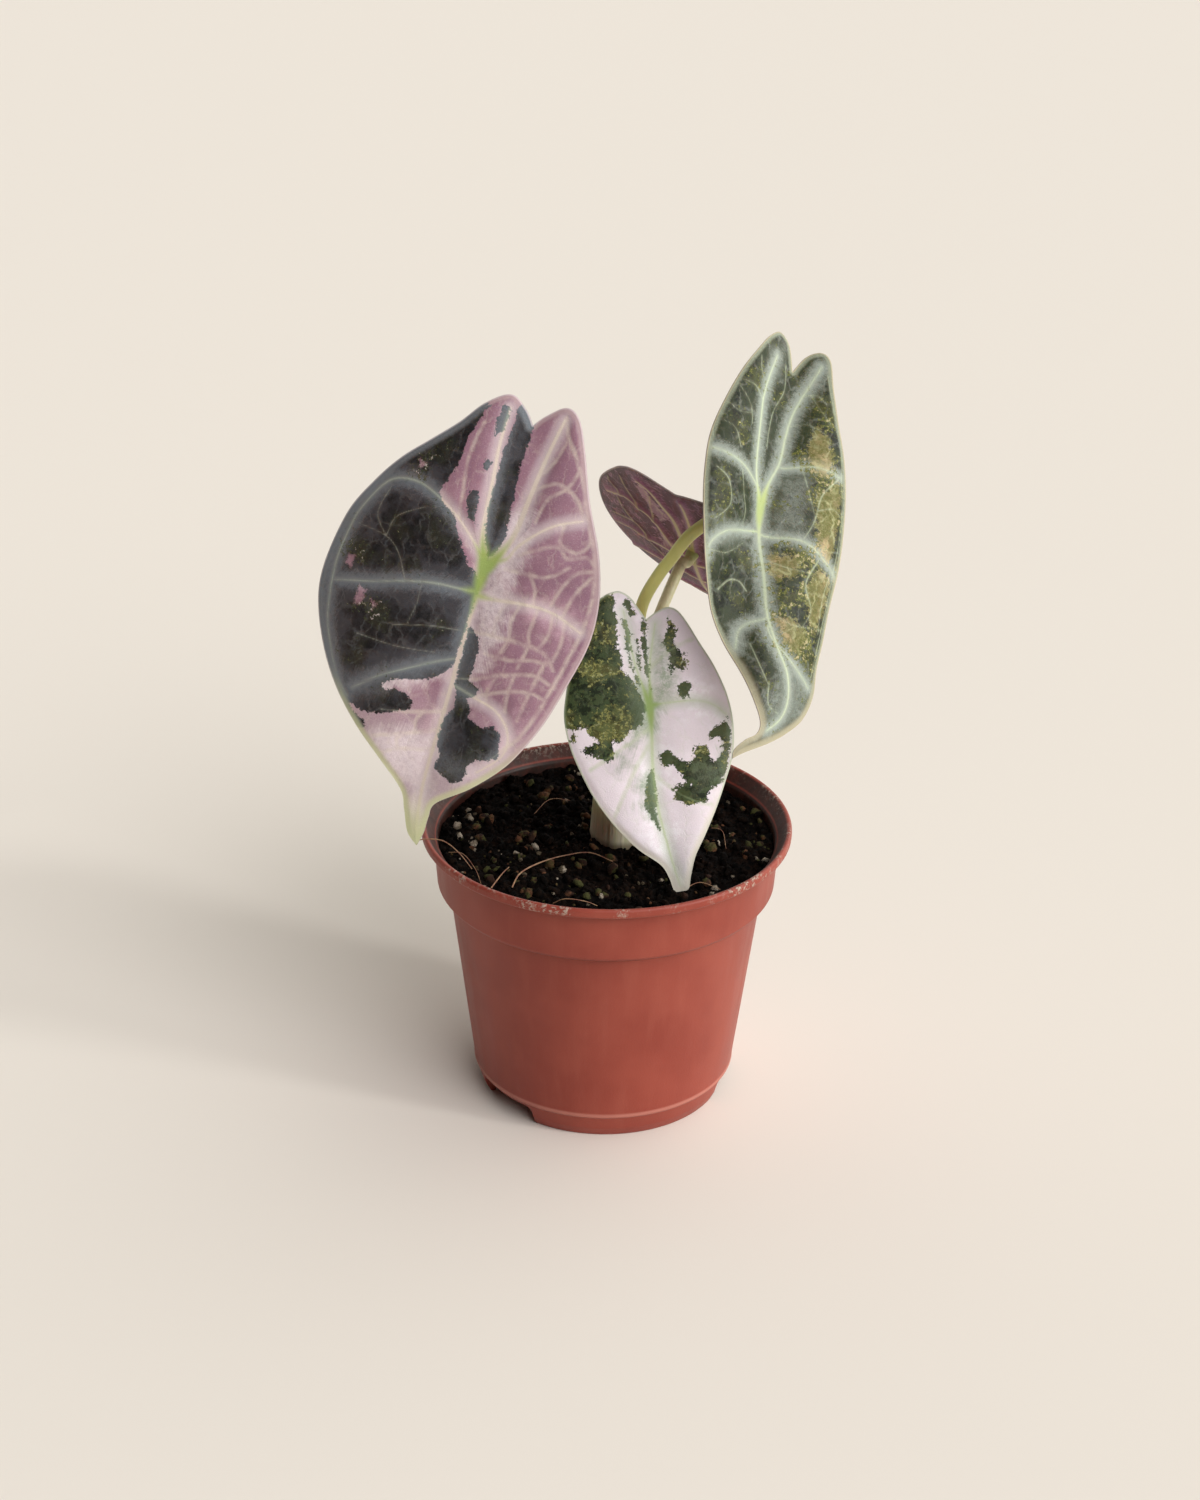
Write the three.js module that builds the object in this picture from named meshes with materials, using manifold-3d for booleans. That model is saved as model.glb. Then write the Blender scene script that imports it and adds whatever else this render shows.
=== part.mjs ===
// Potted alocasia watsoniana: four variegated leaves on a short pale stem, in a 9 cm plastic
// nursery pot filled with peat. Millimetres, +Z up, resting on the pot's foot ring at z = 0.
// Everything is laid out from the pot's axis; the finished group is then moved so that the
// origin lies under the middle of the whole plant's box.
import * as THREE from 'three';
import * as BufferGeometryUtils from 'three/addons/utils/BufferGeometryUtils.js';
import Module from 'manifold-3d';

const wasm = await Module();
wasm.setup();

// Driving dimensions of the pot
const POT_RIM_RADIUS = 45;
const POT_HEIGHT = 71;
const POT_WALL = 1.1;
const LIP_HEIGHT = 2.6;
const LIP_WIDTH = 1.9;
const BAND_TOP_RADIUS = 42.1;
const BAND_FOOT_RADIUS = 41.2;
const BAND_FOOT_Z = 54.7;
const BODY_TOP_RADIUS = 38.4;
const BODY_FOOT_RADIUS = 32.3;
const BODY_FOOT_Z = 6.6;
const FOOT_RADIUS = 29.8;
const FLOOR_Z = 5.4;
const POT_SEGMENTS = 64;

// The foot ring is notched where water runs out, and the floor is pierced
const NOTCH_DIRECTIONS_DEG = [-141, -9, 105];
const NOTCH_WIDTH = 18.6;
const NOTCH_HEIGHT = 4.9;
const NOTCH_CORNER = 2.2;
const NOTCH_FLARE = 0.6;
const NOTCH_CUT_LENGTH = 12;
const DRAIN_HOLE_COUNT = 6;
const DRAIN_HOLE_RADIUS = 3;
const DRAIN_CIRCLE_RADIUS = 20;
const DRAIN_SEGMENTS = 20;

// Soil, and the stem that stands in a plain hole in it
const SOIL_Z = 65.7;
const SOIL_GAP = 0.3;
const SOIL_LUMP_HEIGHT = 0.9;
const SOIL_MOUND_HEIGHT = 1.2;
const SOIL_MOUND_RADIUS = 13;
const SOIL_TOP_RADIUS = 40.4;
const SOIL_RINGS = 11;
const SOIL_SEGMENTS = 48;
const STEM_CENTRE = [2.5, 1];
const STEM_RADIUS = 6.4;
const STEM_FOOT_Z = 53;
const STEM_TOP_Z = 80.5;
const STEM_TOP_RADIUS = 5.7;
const STEM_SEGMENTS = 28;

// Petioles and blades
const SEAT_GAP = 0.3;
const PETIOLE_SIDES = 10;
const PETIOLE_STEPS = 22;
const PETIOLE_FOOT_RADIUS = 2.05;
const PETIOLE_FOOT_SHARE = 0.35;
const PETIOLE_APPROACH = 1.6;
const BLADE_THICKNESS = 0.9;
const MIDRIB_HEIGHT = 0.8;
const MIDRIB_THIN_FROM = 0.7;
const LATERAL_RIB_HEIGHT = 0.45;
const RIB_HALF_WIDTH = 0.1;
const BLADE_COLUMNS = [0, 0.05, 0.14, 0.27, 0.42, 0.57, 0.72, 0.87, 1];

// The origin lies under the middle of the plant's box, this far from the pot's axis
const BOX_CENTRE = [-7.38, 14.56];

const plastic = new THREE.MeshStandardMaterial({ color: 0x9c4a3d, roughness: 0.62, metalness: 0 });
const peat = new THREE.MeshStandardMaterial({ color: 0x1f1712, roughness: 0.98, metalness: 0 });
const paleStem = new THREE.MeshStandardMaterial({ color: 0xc9c79b, roughness: 0.55, metalness: 0 });
const oliveStalk = new THREE.MeshStandardMaterial({ color: 0xa3a64f, roughness: 0.5, metalness: 0 });
const pinkBlade = new THREE.MeshStandardMaterial({ color: 0xbf97a4, roughness: 0.55, metalness: 0 });
const whiteBlade = new THREE.MeshStandardMaterial({ color: 0xd9ccd2, roughness: 0.55, metalness: 0 });
const greenBlade = new THREE.MeshStandardMaterial({ color: 0x4d5f43, roughness: 0.5, metalness: 0 });
const purpleBlade = new THREE.MeshStandardMaterial({ color: 0x5b4152, roughness: 0.55, metalness: 0 });

// Each leaf: where its stalk meets the blade, which way the blade faces, its outline in the
// blade's own plane (u to the right, v towards the tip, seen from above the blade) and its
// veins in pairs: [share of the midrib from the stalk, then for the left and the right vein the
// share of the margin from the tip, and the bow towards the lobes].
const LEAVES = [
  {
    name: 'left',
    material: pinkBlade,
    attach: [-29.2, -1.5, 137.4],
    facing: { azimuth: -15, elevation: 20, roll: -14 },
    form: { valley: 2, valleyWidth: 8, droop: 4, halfWidth: 34,
            tipArch: 6, tipLength: 69, lobeArch: 6, lobeLength: 41 },
    midrib: [[0, 0], [0, 8], [0.5, 18], [1.5, 29], [1.8, 38], [2, 47], [2.2, 54], [3.4, 61], [5, 68.6]],
    left: [[5, 68.6], [1.8, 66.4], [-0.6, 61.5], [-3, 57], [-10, 51.5], [-18, 46], [-25.5, 39.5],
           [-32, 31.5], [-37, 22], [-38.4, 13], [-37, 0], [-33, -9.5], [-28.5, -17], [-23, -23.5],
           [-18, -29.5], [-14, -35.5], [-9, -39.5], [-4.5, -37.5], [-1.5, -34.5]],
    right: [[5, 68.6], [5.8, 65], [5.8, 61], [6.5, 57], [13.5, 50.5], [19.5, 43], [23, 36],
            [25.5, 28.5], [27.5, 19], [29, 10], [29, 3], [27.5, -4.5], [24, -13], [18, -23],
            [12.5, -33.5], [8.5, -39.5], [4.5, -41], [0.5, -37.5], [-1.5, -34.5]],
    veins: [[0.8, 0.1, 0, 0.1, 0], [0.62, 0.15, 0.03, 0.18, 0.05], [0.46, 0.21, 0.04, 0.28, 0.1],
            [0.34, 0.28, 0.03, 0.37, 0.08], [0.2, 0.38, 0.03, 0.45, 0.05],
            [0.09, 0.49, 0.03, 0.53, 0.08], [0, 0.67, 0.16, 0.72, 0.05],
            [0, 0.93, -0.04, 0.92, -0.06]],
    stalkRadius: 1.9,
    stalkPath: [[-4, 3.5, 92], [-7.5, 6, 112], [-14, 7.5, 127], [-22, 5.5, 136]],
  },
  {
    name: 'centre',
    material: whiteBlade,
    attach: [9.6, -15, 108.9],
    facing: { azimuth: 0, elevation: 20, roll: 9 },
    form: { valley: 1.2, valleyWidth: 5, droop: 2, halfWidth: 20,
            tipArch: 3, tipLength: 45, lobeArch: 4, lobeLength: 27 },
    midrib: [[0, 0], [-0.5, 6.5], [-1.3, 14], [-1.5, 23], [-0.9, 29.5], [0.2, 38], [1.4, 44.6]],
    left: [[1.4, 44.6], [-0.4, 44.3], [-1.2, 41], [-2.8, 37.5], [-7.5, 33], [-12, 27], [-15.8, 20],
           [-18.3, 13], [-19.9, 6.5], [-20.2, 0], [-18.8, -6], [-16.6, -12.5], [-13, -20],
           [-10, -24.5], [-7, -26.7], [-3.6, -27.3], [-1, -25.5], [0.6, -22.7], [2, -20]],
    right: [[1.4, 44.6], [3, 44.2], [4, 41], [5.7, 36.5], [8.5, 32], [12, 26], [15, 20],
            [17.6, 14], [18.7, 7], [18.2, 0], [16.2, -7], [13.5, -13], [11.3, -18],
            [9.5, -21], [7.3, -22.1], [4.6, -21.4], [2, -20]],
    veins: [[0.72, 0.13, 0, 0.13, 0], [0.52, 0.21, 0.06, 0.21, 0.06],
            [0.36, 0.31, 0.08, 0.31, 0.08], [0.2, 0.41, 0.08, 0.43, 0.08],
            [0, 0.56, 0.13, 0.57, 0.13], [0, 0.86, 0.03, 0.86, 0.03]],
    stalkRadius: 1.5,
    stalkPath: [[3.2, -3.5, 88], [4.6, -5.5, 97], [6.8, -8.6, 105.5]],
  },
  {
    name: 'right',
    material: greenBlade,
    attach: [34.1, -2, 153.6],
    facing: { azimuth: 30, elevation: 33, roll: -33 },
    form: { valley: 7, valleyWidth: 9, droop: 4, halfWidth: 20,
            tipArch: 6, tipLength: 57, lobeArch: 5, lobeLength: 45 },
    midrib: [[0, 0], [1.5, 7], [4.5, 15], [7.5, 24], [11.5, 30.5], [16.5, 36], [18.8, 41],
             [18.6, 45.5], [15.8, 49.8], [12.8, 53.8], [10.4, 58.2]],
    left: [[10.4, 58.2], [10.2, 56], [11.8, 53.2], [13.9, 51], [13.8, 48.3], [10.5, 44],
           [5.5, 38], [0, 32.5], [-6.5, 26.5], [-11.5, 18], [-15.5, 6.5], [-17.5, -3],
           [-18, -11.5], [-16.5, -20.5], [-14, -29.5], [-11, -36.5], [-8.3, -41.5],
           [-5, -44.6], [-1.6, -43], [0.5, -36.5]],
    right: [[10.4, 58.2], [12.6, 56], [17.5, 52], [21.5, 48], [25, 43], [26, 37], [24.6, 31],
            [24, 24.5], [23, 17], [22.6, 8.5], [21.3, 0], [19, -10], [16.3, -18],
            [12.8, -26], [9.9, -35], [8.3, -42], [6, -43.8], [3, -41.6], [0.5, -36.5]],
    veins: [[0.75, 0.12, 0, 0.12, 0], [0.58, 0.17, 0.05, 0.18, 0.02],
            [0.43, 0.23, 0.14, 0.24, 0.02], [0.26, 0.31, 0.16, 0.35, 0.08],
            [0.1, 0.41, 0.17, 0.47, 0.11], [0, 0.6, 0.09, 0.65, 0.09],
            [0, 0.87, 0.02, 0.89, 0.02]],
    stalkRadius: 1.5,
    stalkPath: [[6, 1.6, 92], [6.2, 1.8, 110], [7.5, 2, 126.8], [10.9, 1.8, 134.3], [14, 1.3, 139.1],
                [18.7, 0.2, 146], [26.9, -0.8, 151.6]],
  },
  {
    name: 'back',
    material: purpleBlade,
    attach: [20.3, 29, 129.9],
    facing: { azimuth: 142, elevation: 37, roll: 15 },
    form: { valley: 0, valleyWidth: 5, droop: -5.5, halfWidth: 32,
            tipArch: -15, tipLength: 55, lobeArch: 2, lobeLength: 35 },
    midrib: [[0, 0], [0.3, 12], [0.6, 26], [0.4, 38], [0.1, 48], [0, 56.5]],
    left: [[0, 56.5], [-1.8, 52.5], [-2.6, 47.3], [-7.4, 41.5], [-14.8, 35.5], [-21, 29],
           [-25.8, 21.5], [-29, 13.5], [-30, 5.5], [-29, -2.5], [-26.4, -10], [-22.6, -16.8],
           [-18.6, -23], [-15, -27.6], [-11.2, -30.6], [-7.3, -31.6], [-3, -31], [0, -30]],
    right: [[0, 56.5], [1.8, 52.5], [2.6, 47.3], [7.4, 41.6], [14.5, 35.6], [20.3, 29],
            [24.6, 21.6], [27.9, 13.6], [29.5, 5.5], [29.2, -3], [27, -10.5], [23.6, -17.2],
            [19.8, -23.6], [16.2, -28.9], [12.2, -32.2], [8, -32.9], [3.6, -31.6], [0, -30]],
    veins: [[0.72, 0.13, 0, 0.13, 0], [0.52, 0.21, 0.06, 0.21, 0.06],
            [0.36, 0.31, 0.08, 0.31, 0.08], [0.2, 0.41, 0.08, 0.41, 0.08],
            [0, 0.58, 0.16, 0.6, 0.2], [0, 0.88, 0.03, 0.88, 0.03]],
    stalkRadius: 1.4,
    stalkPath: [[3.2, 6, 92], [7.3, 9, 108], [12.7, 14, 121.7], [15.8, 19.5, 127.4],
                [17.2, 23.2, 129]],
  },
];

// A closed mesh with its shared vertices merged, and back again
function toSolid(geometry) {
  const bare = geometry.clone();
  bare.deleteAttribute('normal');
  bare.deleteAttribute('uv');
  const merged = BufferGeometryUtils.mergeVertices(bare, 1e-5);
  return new wasm.Manifold(new wasm.Mesh({
    numProp: 3,
    vertProperties: new Float32Array(merged.attributes.position.array),
    triVerts: new Uint32Array(merged.index.array),
  }));
}

function toGeometry(solid) {
  const mesh = solid.getMesh();
  const geometry = new THREE.BufferGeometry();
  geometry.setAttribute('position', new THREE.BufferAttribute(mesh.vertProperties, 3));
  geometry.setIndex(new THREE.BufferAttribute(mesh.triVerts, 1));
  return geometry;
}

// A profile of [radius, z] points turned about the Z axis
function turned(profile, segments) {
  const points = profile.map(([radius, z]) => new THREE.Vector2(radius, z));
  return new THREE.LatheGeometry(points, segments).rotateX(Math.PI / 2);
}

function piece(name, geometry, material) {
  const mesh = new THREE.Mesh(geometry, material);
  mesh.name = name;
  return mesh;
}

// Pot: one moulded shell. The profile runs from the middle of the floor's underside out over
// the foot, up the body, round the band and the flared lip, and down the inside.
function makePot() {
  const lipFoot = POT_HEIGHT - LIP_HEIGHT;
  const innerFoot = FOOT_RADIUS - POT_WALL - 0.2;
  const outside = [
    [0, FLOOR_Z], [innerFoot, FLOOR_Z], [innerFoot, 0], [FOOT_RADIUS, 0],
    [FOOT_RADIUS + 1.3, 2.6], [BODY_FOOT_RADIUS, BODY_FOOT_Z], [BODY_TOP_RADIUS, BAND_FOOT_Z],
    [BAND_FOOT_RADIUS - 0.8, BAND_FOOT_Z + 0.2], [BAND_FOOT_RADIUS, BAND_FOOT_Z + 1.3],
    [BAND_TOP_RADIUS, lipFoot - 0.5], [BAND_TOP_RADIUS + 0.7, lipFoot],
    [POT_RIM_RADIUS - 0.4, lipFoot + 0.2], [POT_RIM_RADIUS, lipFoot + 0.7],
    [POT_RIM_RADIUS, POT_HEIGHT - 0.5], [POT_RIM_RADIUS - 0.4, POT_HEIGHT],
  ];
  const inside = [
    [POT_RIM_RADIUS - LIP_WIDTH, POT_HEIGHT],
    [BAND_TOP_RADIUS - POT_WALL, lipFoot - 0.2],
    [BAND_FOOT_RADIUS - POT_WALL, BAND_FOOT_Z + 1.6],
    [BODY_TOP_RADIUS - POT_WALL, BAND_FOOT_Z + 0.1],
    [BODY_FOOT_RADIUS - POT_WALL, FLOOR_Z + POT_WALL + 1],
    [BODY_FOOT_RADIUS - POT_WALL - 1, FLOOR_Z + POT_WALL],
    [0, FLOOR_Z + POT_WALL],
  ];
  let pot = toSolid(turned([...outside, ...inside], POT_SEGMENTS));

  const half = NOTCH_WIDTH / 2;
  const arch = new THREE.Shape();
  arch.moveTo(-half - NOTCH_FLARE, -1);
  arch.lineTo(half + NOTCH_FLARE, -1);
  arch.lineTo(half, NOTCH_HEIGHT - NOTCH_CORNER);
  arch.quadraticCurveTo(half, NOTCH_HEIGHT, half - NOTCH_CORNER, NOTCH_HEIGHT);
  arch.lineTo(-half + NOTCH_CORNER, NOTCH_HEIGHT);
  arch.quadraticCurveTo(-half, NOTCH_HEIGHT, -half, NOTCH_HEIGHT - NOTCH_CORNER);
  arch.closePath();
  for (const direction of NOTCH_DIRECTIONS_DEG) {
    const cutter = new THREE.ExtrudeGeometry(arch, {
      depth: NOTCH_CUT_LENGTH, bevelEnabled: false, curveSegments: 4,
    });
    cutter.rotateX(Math.PI / 2).rotateZ(Math.PI / 2);
    cutter.translate(FOOT_RADIUS - NOTCH_CUT_LENGTH / 2, 0, 0);
    cutter.rotateZ(THREE.MathUtils.degToRad(direction));
    pot = pot.subtract(toSolid(cutter));
  }
  for (let k = 0; k < DRAIN_HOLE_COUNT; k += 1) {
    const turn = (2 * Math.PI * k) / DRAIN_HOLE_COUNT;
    const hole = new THREE.CylinderGeometry(
      DRAIN_HOLE_RADIUS, DRAIN_HOLE_RADIUS, POT_WALL * 3, DRAIN_SEGMENTS);
    hole.rotateX(Math.PI / 2).translate(DRAIN_CIRCLE_RADIUS, 0, FLOOR_Z + POT_WALL / 2).rotateZ(turn);
    pot = pot.subtract(toSolid(hole));
  }
  return piece('pot', toGeometry(pot), plastic);
}

// Height of the soil's lumps: sines of several lengths that don't repeat across the pot
function soilLump(x, y) {
  const slow = Math.sin(0.31 * x + 0.4) * Math.cos(0.27 * y - 1.1);
  const middle = Math.sin(0.83 * x - 0.52 * y + 2.1) * Math.sin(0.71 * y + 0.45 * x);
  const quick = Math.sin(1.7 * x + 0.9 * y) * Math.cos(1.9 * y - 0.6 * x + 0.8);
  return SOIL_LUMP_HEIGHT * (0.5 * slow + 0.35 * middle + 0.3 * quick);
}

// Soil: peat that fills the pot to a few millimetres below the rim, lumpy on top, heaped a
// little round the stem, with a plain hole for the stem's foot
function makeSoil() {
  const surface = [];
  for (let k = 0; k <= SOIL_RINGS; k += 1) {
    surface.push([SOIL_TOP_RADIUS * (1 - k / SOIL_RINGS), SOIL_Z]);
  }
  const side = [
    [0, FLOOR_Z + POT_WALL + SOIL_GAP],
    [BODY_FOOT_RADIUS - POT_WALL - 1.4, FLOOR_Z + POT_WALL + SOIL_GAP],
    [BODY_TOP_RADIUS - POT_WALL - SOIL_GAP, BAND_FOOT_Z + 0.3],
    [BAND_FOOT_RADIUS - POT_WALL - SOIL_GAP, BAND_FOOT_Z + 2.2],
  ];
  const geometry = turned([...side, ...surface], SOIL_SEGMENTS);
  const position = geometry.attributes.position;
  for (let i = 0; i < position.count; i += 1) {
    if (position.getZ(i) < SOIL_Z - 1) continue;
    const x = position.getX(i);
    const y = position.getY(i);
    const reach = Math.hypot(x - STEM_CENTRE[0], y - STEM_CENTRE[1]) / SOIL_MOUND_RADIUS;
    const mound = SOIL_MOUND_HEIGHT * Math.exp(-(reach ** 2));
    position.setZ(i, SOIL_Z + mound + soilLump(x, y));
  }
  const depth = STEM_TOP_Z - STEM_FOOT_Z + SOIL_GAP;
  const radius = STEM_RADIUS + SOIL_GAP;
  const hole = new THREE.CylinderGeometry(radius, radius, depth, STEM_SEGMENTS);
  hole.rotateX(Math.PI / 2);
  hole.translate(STEM_CENTRE[0], STEM_CENTRE[1], STEM_FOOT_Z - SOIL_GAP + depth / 2);
  return piece('soil', toGeometry(toSolid(geometry).subtract(toSolid(hole))), peat);
}

// Stem: short, pale and fleshy, blunt at its buried foot, with its top tapering in under
// the stalks
function makeStem() {
  const stem = turned([
    [0, STEM_FOOT_Z], [STEM_RADIUS - 2.4, STEM_FOOT_Z + 0.6], [STEM_RADIUS - 0.5, STEM_FOOT_Z + 3],
    [STEM_RADIUS, STEM_FOOT_Z + 7], [STEM_RADIUS, SOIL_Z + 1], [STEM_RADIUS - 0.25, SOIL_Z + 6],
    [STEM_TOP_RADIUS, STEM_TOP_Z - 1.2], [STEM_TOP_RADIUS - 0.6, STEM_TOP_Z],
    [0, STEM_TOP_Z],
  ], STEM_SEGMENTS);
  stem.translate(STEM_CENTRE[0], STEM_CENTRE[1], 0);
  return piece('stem', stem, paleStem);
}

// A blade's own axes: side (u), down (v, towards the tip) and face (out of its upper side)
function bladeAxes({ azimuth, elevation, roll }) {
  const [az, el, turn] = [azimuth, elevation, roll].map(THREE.MathUtils.degToRad);
  const face = new THREE.Vector3(
    Math.sin(az) * Math.cos(el), -Math.cos(az) * Math.cos(el), Math.sin(el));
  const fall = new THREE.Vector3(0, 0, -1).addScaledVector(face, face.z).normalize();
  const level = new THREE.Vector3().crossVectors(face, fall);
  return {
    face,
    down: fall.clone().multiplyScalar(Math.cos(turn)).addScaledVector(level, Math.sin(turn)),
    side: level.clone().multiplyScalar(Math.cos(turn)).addScaledVector(fall, -Math.sin(turn)),
  };
}

// Height of the blade's middle surface above its plane: a valley along the midrib, margins
// that droop, and a long arch towards the tip and over the lobes
function bladeHeight(form, u, v) {
  const valley = form.valley * (1 - Math.exp(-((u / form.valleyWidth) ** 2)));
  const droop = form.droop * (u / form.halfWidth) ** 2;
  const arch = v > 0 ? form.tipArch * (v / form.tipLength) ** 2
    : form.lobeArch * (v / form.lobeLength) ** 2;
  return valley - droop - arch;
}

// Value at x of the polyline through [x, y] knots with rising x
function between(knots, x) {
  let k = 1;
  while (k < knots.length - 1 && knots[k][0] < x) k += 1;
  const share = (x - knots[k - 1][0]) / (knots[k][0] - knots[k - 1][0]);
  return knots[k - 1][1] + share * (knots[k][1] - knots[k - 1][1]);
}

// Half a blade as rows that run from the midrib to the margin. The rows are the veins and
// the lines between them, so each rib follows a row; towards the lobes they fan out from
// the stalk.
function halfBladeRows(leaf, margin, firstColumn, bowSign) {
  const spline = (points) => new THREE.SplineCurve(points.map(([u, v]) => new THREE.Vector2(u, v)));
  const midribCurve = spline(leaf.midrib);
  const marginCurve = spline(margin);
  const veins = leaf.veins.map((vein) => [vein[0], vein[firstColumn], vein[firstColumn + 1]]);
  const knots = [[1, 0, 0], ...veins, [0, 1, 0]];
  const column = (index) => knots.map((knot, k) => [k, knot[index]]);
  const [starts, ends, bows] = [column(0), column(1), column(2)];
  const steps = [];
  for (let k = 0; k < knots.length - 1; k += 1) {
    steps.push(k, k + RIB_HALF_WIDTH, k + 0.5, k + 1 - RIB_HALF_WIDTH);
  }
  steps.push(knots.length - 1);
  return steps.map((step) => {
    const from = midribCurve.getPointAt(between(starts, step));
    const to = marginCurve.getPointAt(between(ends, step));
    const across = new THREE.Vector2(-(to.y - from.y), to.x - from.x);
    const bend = across.multiplyScalar(-2 * bowSign * between(bows, step));
    const middle = from.clone().add(to).multiplyScalar(0.5).add(bend);
    const path = new THREE.QuadraticBezierCurve(from, middle, to);
    const isVein = Number.isInteger(step) && step > 0 && step < knots.length - 1;
    const midrib = between(starts, step) < MIDRIB_THIN_FROM ? MIDRIB_HEIGHT : MIDRIB_HEIGHT / 2;
    return BLADE_COLUMNS.map((share) => {
      const lateral = isVein ? LATERAL_RIB_HEIGHT * (1 - share) : 0;
      const rib = share === 0 ? midrib : lateral;
      return { point: path.getPoint(share), rib };
    });
  });
}

// Blade: both halves on both faces, triangulated alike, and closed by a wall at the margin.
// The ribs stand out of the underside.
function makeBlade(leaf) {
  const { face, down, side } = bladeAxes(leaf.facing);
  const origin = new THREE.Vector3(...leaf.attach);
  const vertices = [];
  const triangles = [];
  const numbers = new Map();

  const vertexPair = ({ point, rib }) => {
    const key = `${point.x.toFixed(3)},${point.y.toFixed(3)}`;
    if (!numbers.has(key)) {
      const height = bladeHeight(leaf.form, point.x, point.y);
      const top = origin.clone().addScaledVector(side, point.x).addScaledVector(down, point.y)
        .addScaledVector(face, height + BLADE_THICKNESS / 2);
      const under = top.clone().addScaledVector(face, -BLADE_THICKNESS - rib);
      numbers.set(key, vertices.length / 3);
      vertices.push(...top.toArray(), ...under.toArray());
    }
    return numbers.get(key);
  };
  const addTriangle = (a, b, c, flip) => {
    if (a === b || b === c || c === a) return;
    triangles.push(...(flip ? [a, c, b] : [a, b, c]));
    triangles.push(...(flip ? [a + 1, b + 1, c + 1] : [a + 1, c + 1, b + 1]));
  };
  const addHalf = (margin, firstColumn, bowSign) => {
    const rows = halfBladeRows(leaf, margin, firstColumn, bowSign)
      .map((row) => row.map(vertexPair));
    const flip = bowSign < 0;
    for (let r = 0; r < rows.length - 1; r += 1) {
      for (let c = 0; c < BLADE_COLUMNS.length - 1; c += 1) {
        const [a, b, d, e] = [rows[r][c], rows[r][c + 1], rows[r + 1][c], rows[r + 1][c + 1]];
        addTriangle(a, b, e, flip);
        addTriangle(a, e, d, flip);
      }
      const [edge, next] = [rows[r].at(-1), rows[r + 1].at(-1)];
      if (edge !== next) {
        const wall = [edge, edge + 1, next + 1, edge, next + 1, next];
        triangles.push(...(flip ? wall.reverse() : wall));
      }
    }
  };
  addHalf(leaf.left, 1, -1);
  addHalf(leaf.right, 3, 1);

  const geometry = new THREE.BufferGeometry();
  geometry.setAttribute('position', new THREE.Float32BufferAttribute(vertices, 3));
  geometry.setIndex(triangles);
  return piece(`leaf_${leaf.name}`, geometry, leaf.material);
}

// Stalk: a round tapering tube along a smooth path, closed by a fan at each end
function taperedTube(points, radiusAt) {
  const curve = new THREE.CatmullRomCurve3(points);
  const frames = curve.computeFrenetFrames(PETIOLE_STEPS, false);
  const vertices = [];
  const triangles = [];
  for (let k = 0; k <= PETIOLE_STEPS; k += 1) {
    const share = k / PETIOLE_STEPS;
    const centre = curve.getPointAt(share);
    for (let s = 0; s < PETIOLE_SIDES; s += 1) {
      const turn = (2 * Math.PI * s) / PETIOLE_SIDES;
      const spot = centre.clone()
        .addScaledVector(frames.normals[k], radiusAt(share) * Math.cos(turn))
        .addScaledVector(frames.binormals[k], radiusAt(share) * Math.sin(turn));
      vertices.push(...spot.toArray());
    }
  }
  const ring = (k, s) => k * PETIOLE_SIDES + (s % PETIOLE_SIDES);
  for (let k = 0; k < PETIOLE_STEPS; k += 1) {
    for (let s = 0; s < PETIOLE_SIDES; s += 1) {
      triangles.push(ring(k, s), ring(k, s + 1), ring(k + 1, s + 1));
      triangles.push(ring(k, s), ring(k + 1, s + 1), ring(k + 1, s));
    }
  }
  for (let s = 1; s < PETIOLE_SIDES - 1; s += 1) {
    triangles.push(ring(0, 0), ring(0, s + 1), ring(0, s));
    triangles.push(ring(PETIOLE_STEPS, 0), ring(PETIOLE_STEPS, s), ring(PETIOLE_STEPS, s + 1));
  }
  const geometry = new THREE.BufferGeometry();
  geometry.setAttribute('position', new THREE.Float32BufferAttribute(vertices, 3));
  geometry.setIndex(triangles);
  return geometry;
}

// Each stalk rises from its own spot on the stem's top and comes to its blade from below
const STALK_FEET = { left: [-3.3, 0], centre: [0, -3.3], right: [3.3, 0], back: [0, 3.3] };

function makeStalk(leaf) {
  const { face } = bladeAxes(leaf.facing);
  const [dx, dy] = STALK_FEET[leaf.name];
  const foot = new THREE.Vector3(STEM_CENTRE[0] + dx, STEM_CENTRE[1] + dy, STEM_TOP_Z + SEAT_GAP);
  const under = BLADE_THICKNESS / 2 + MIDRIB_HEIGHT + SEAT_GAP;
  const end = new THREE.Vector3(...leaf.attach).addScaledVector(face, -under);
  const approach = end.clone().addScaledVector(face, -PETIOLE_APPROACH);
  const path = leaf.stalkPath.map((spot) => new THREE.Vector3(...spot));
  const above = foot.clone().add(new THREE.Vector3(0, 0, 2));
  const points = [foot, above, ...path, approach, end];
  const radiusAt = (share) => leaf.stalkRadius
    + (PETIOLE_FOOT_RADIUS - leaf.stalkRadius) * Math.max(0, 1 - share / PETIOLE_FOOT_SHARE) ** 2;
  return piece(`petiole_${leaf.name}`, taperedTube(points, radiusAt), oliveStalk);
}

const group = new THREE.Group();
group.add(makePot(), makeSoil(), makeStem());
for (const leaf of LEAVES) group.add(makeStalk(leaf), makeBlade(leaf));
group.position.set(-BOX_CENTRE[0], -BOX_CENTRE[1], 0);

export default group;
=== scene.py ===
import math

import bpy
import numpy as np
from mathutils import Matrix, Vector


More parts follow.
